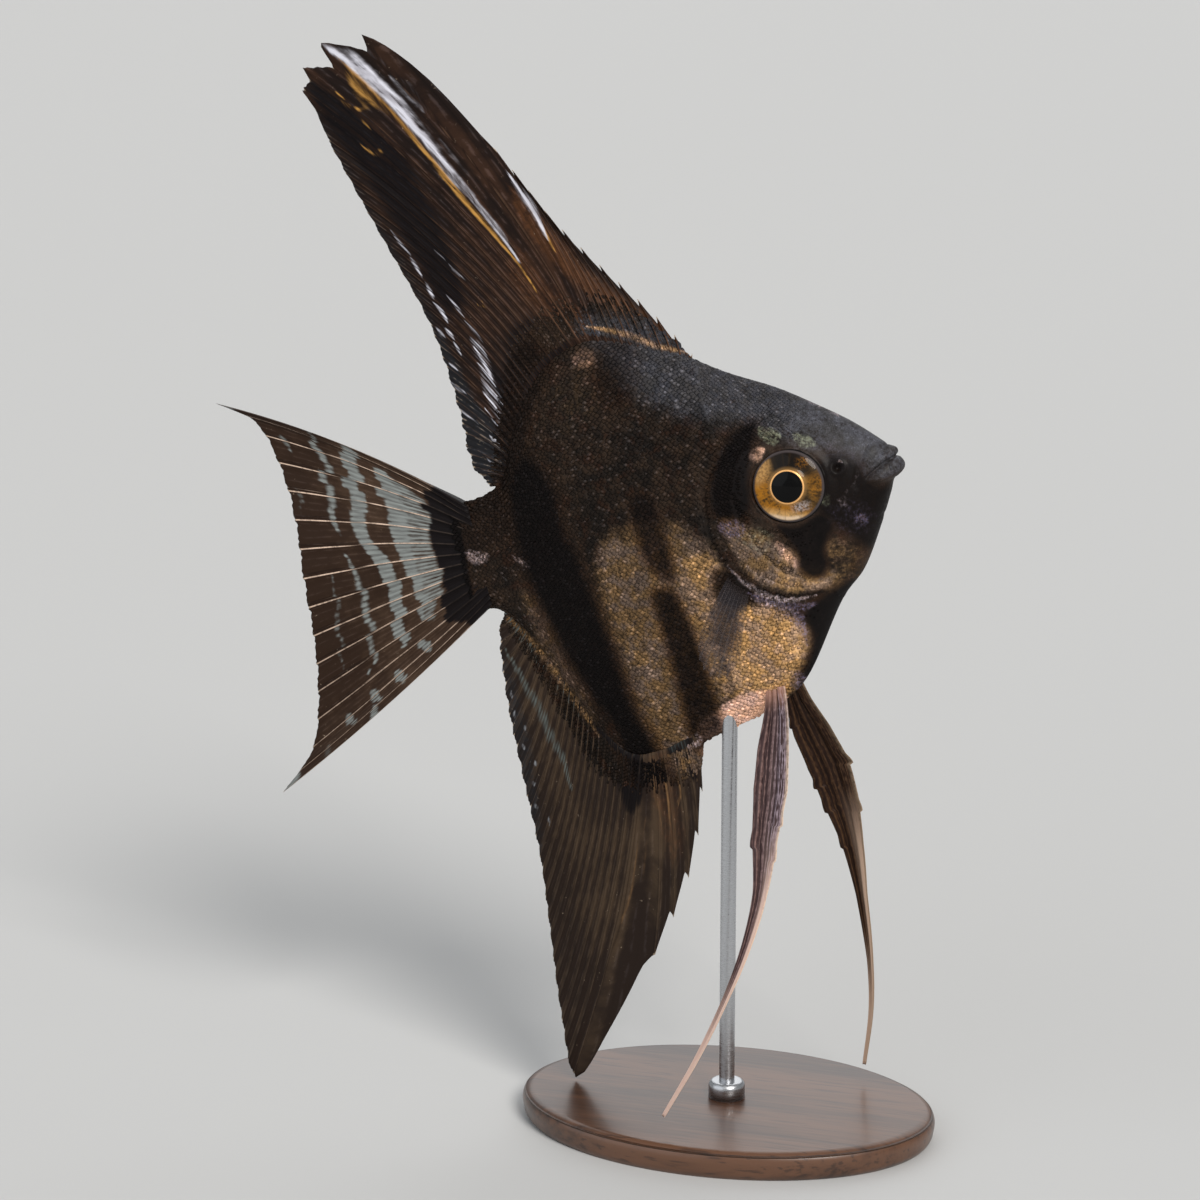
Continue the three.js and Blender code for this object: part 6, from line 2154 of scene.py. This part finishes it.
@dataclass(frozen=True)
class Studio:
    """A pale floor, soft lamps and the camera. Lengths are metres."""

    target: Point = (-0.01896, 0.0, 0.0783)
    azimuth: float = math.radians(18)
    elevation: float = math.radians(12)
    distance: float = 0.44667
    lens: float = 96.15
    shift: float = -0.0192
    floor_radius: float = 30.0
    lamps: tuple[Lamp, ...] = (
        Lamp("key", (0.75, -0.8, 0.9), 2.6, 24.0, (1.0, 0.97, 0.93)),
        Lamp("fill", (-0.8, -0.9, 0.45), 0.9, 70.0, (0.93, 0.96, 1.0)),
        Lamp("back", (-0.2, 0.9, 0.8), 0.9, 60.0),
    )

    def build(self) -> None:
        """Makes the floor, the lamps, the sky and the camera."""
        around = np.linspace(0, 2 * np.pi, 96, endpoint=False)
        disc = np.stack([np.cos(around), np.sin(around), 0 * around], axis=1) * self.floor_radius
        mesh = make_mesh("floor", disc, [np.arange(96)[None]])
        mesh.materials.append(Plain("floor_paint", colour=(0.55, 0.55, 0.545)).material())
        add_object("floor", mesh)
        for lamp in self.lamps:
            self._lamp(lamp)
        world = bpy.data.worlds.new("studio")
        world.use_nodes = True
        background = world.node_tree.nodes["Background"]
        background.inputs["Color"].default_value = (0.60, 0.62, 0.64, 1.0)
        background.inputs["Strength"].default_value = 0.5
        bpy.context.scene.world = world
        bpy.context.scene.view_settings.view_transform = "Standard"
        self._camera()

    def _lamp(self, lamp: Lamp) -> None:
        """Adds one lamp."""
        data = bpy.data.lights.new(lamp.name, "SUN")
        data.energy, data.angle, data.color = lamp.power, math.radians(lamp.width), lamp.colour
        self._aim(add_object(lamp.name, data), np.array(lamp.way))

    def _camera(self) -> None:
        """Adds the camera."""
        data = bpy.data.cameras.new("camera")
        data.lens, data.sensor_width, data.shift_y = self.lens, 36.0, self.shift
        data.clip_start, data.clip_end = 0.01, 100.0
        camera = add_object("camera", data)
        flat = math.cos(self.elevation)
        back = np.array([
            math.sin(self.azimuth) * flat, -math.cos(self.azimuth) * flat, math.sin(self.elevation)])
        camera.location = np.array(self.target) + back * self.distance
        self._aim(camera, back)
        bpy.context.scene.camera = camera

    @staticmethod
    def _aim(item: Object, back: Array) -> None:
        """Turns an object so that its back looks along a direction and its top is up."""
        x, y, z = back / np.linalg.norm(back)
        item.rotation_euler = (math.acos(z), 0.0, math.atan2(y, x) + math.pi / 2)


def main() -> None:
    """Builds the model in order."""
    logging.basicConfig(level=logging.INFO, format="%(message)s")
    markings = Markings()
    smooth_skin = FishSkin("skin").material()
    scaled_skin = FishSkin("scales", scaled=True, roughness=0.55, specular=0.07).material()
    skin = Skin()
    body = skin.mesh()
    markings.dress(body)
    nodes = ("head", "upper_lip", "lower_jaw", "gill_cover_left", "gill_cover_right", "trunk", "tail")
    add_piece("body_skin", body, smooth_skin, nodes)
    coat = ScaleCoat(skin, markings, scaled_skin)
    coat.build()
    coat.build_sheath(DORSAL, 5.5)
    coat.build_sheath(ANAL, 4.5)
    glass = EyeGlass("eye_glass").material()
    for side in Side:
        Eyeball(side).build(glass, smooth_skin, markings)
    DORSAL.build(FinSkin("dorsal_skin").material())
    ANAL.build(FinSkin("anal_skin", valley=(0.0175, 0.0108, 0.0080), ridge=(0.060, 0.0385, 0.0230),
                       ray=(0.085, 0.056, 0.036), ray_strength=0.3, pleated=0.6, fineness=0.5, tip_shade=0.45,
                       streak=(0.24, 0.25, 0.27), gold=(0.21, 0.115, 0.050)).material())
    CAUDAL.build(FinSkin("caudal_skin", valley=(0.026, 0.0135, 0.0080), ridge=(0.066, 0.039, 0.024),
                         ray=(0.84, 0.62, 0.48), ray_strength=0.95, pleated=0.1, strands=4.0, fineness=0.5,
                         low_rays=0.5, tip_shade=0.45, streak=(0.25, 0.27, 0.26)).material())
    near = PelvicSkin("pelvic_skin_right")
    far = PelvicSkin("pelvic_skin_left", brown=(0.020, 0.009, 0.0055), rear_ray=(0.085, 0.043, 0.020),
                     ray=(0.115, 0.062, 0.034), edge=(0.34, 0.24, 0.16), filament=(0.44, 0.31, 0.23),
                     root=(0.050, 0.024, 0.012))
    for fin, finish in zip(PELVIC_FINS, (near, far)):
        fin.build(finish.material())
    clear = ClearSkin("clear_skin").material()
    for side in Side:
        PectoralFin(side).build(clear)
    wood, steel = Wood("wood").material(), Steel("brushed_steel").material()
    base = rounded((29.0, 0.0, 0), (29.6, 0.6, 0.5), (30.0, 3.0, 0.9), (29.0, 4.0, 0.9), (0.4, 4.0, 0))
    Turned("plinth", base, "stand_base", Slot.WOOD, (1.0, 0.7)).build(wood)
    Turned("upright", rounded((0.9, 4.0, 0), (1.1, 4.4, 0.1), (1.1, 64.8, 0.1), (0.9, 65.0, 0)),
           "stand_rod", Slot.STEEL, sides=48).build(steel)
    Turned("ferrule", rounded((2.6, 4.0, 0), (2.6, 6.0, 0.4), (2.1, 6.5, 0.3), (1.2, 6.5, 0)),
           "stand_collar", Slot.STEEL, sides=96).build(steel)
    Studio().build()


if __name__ == "__main__":
    main()
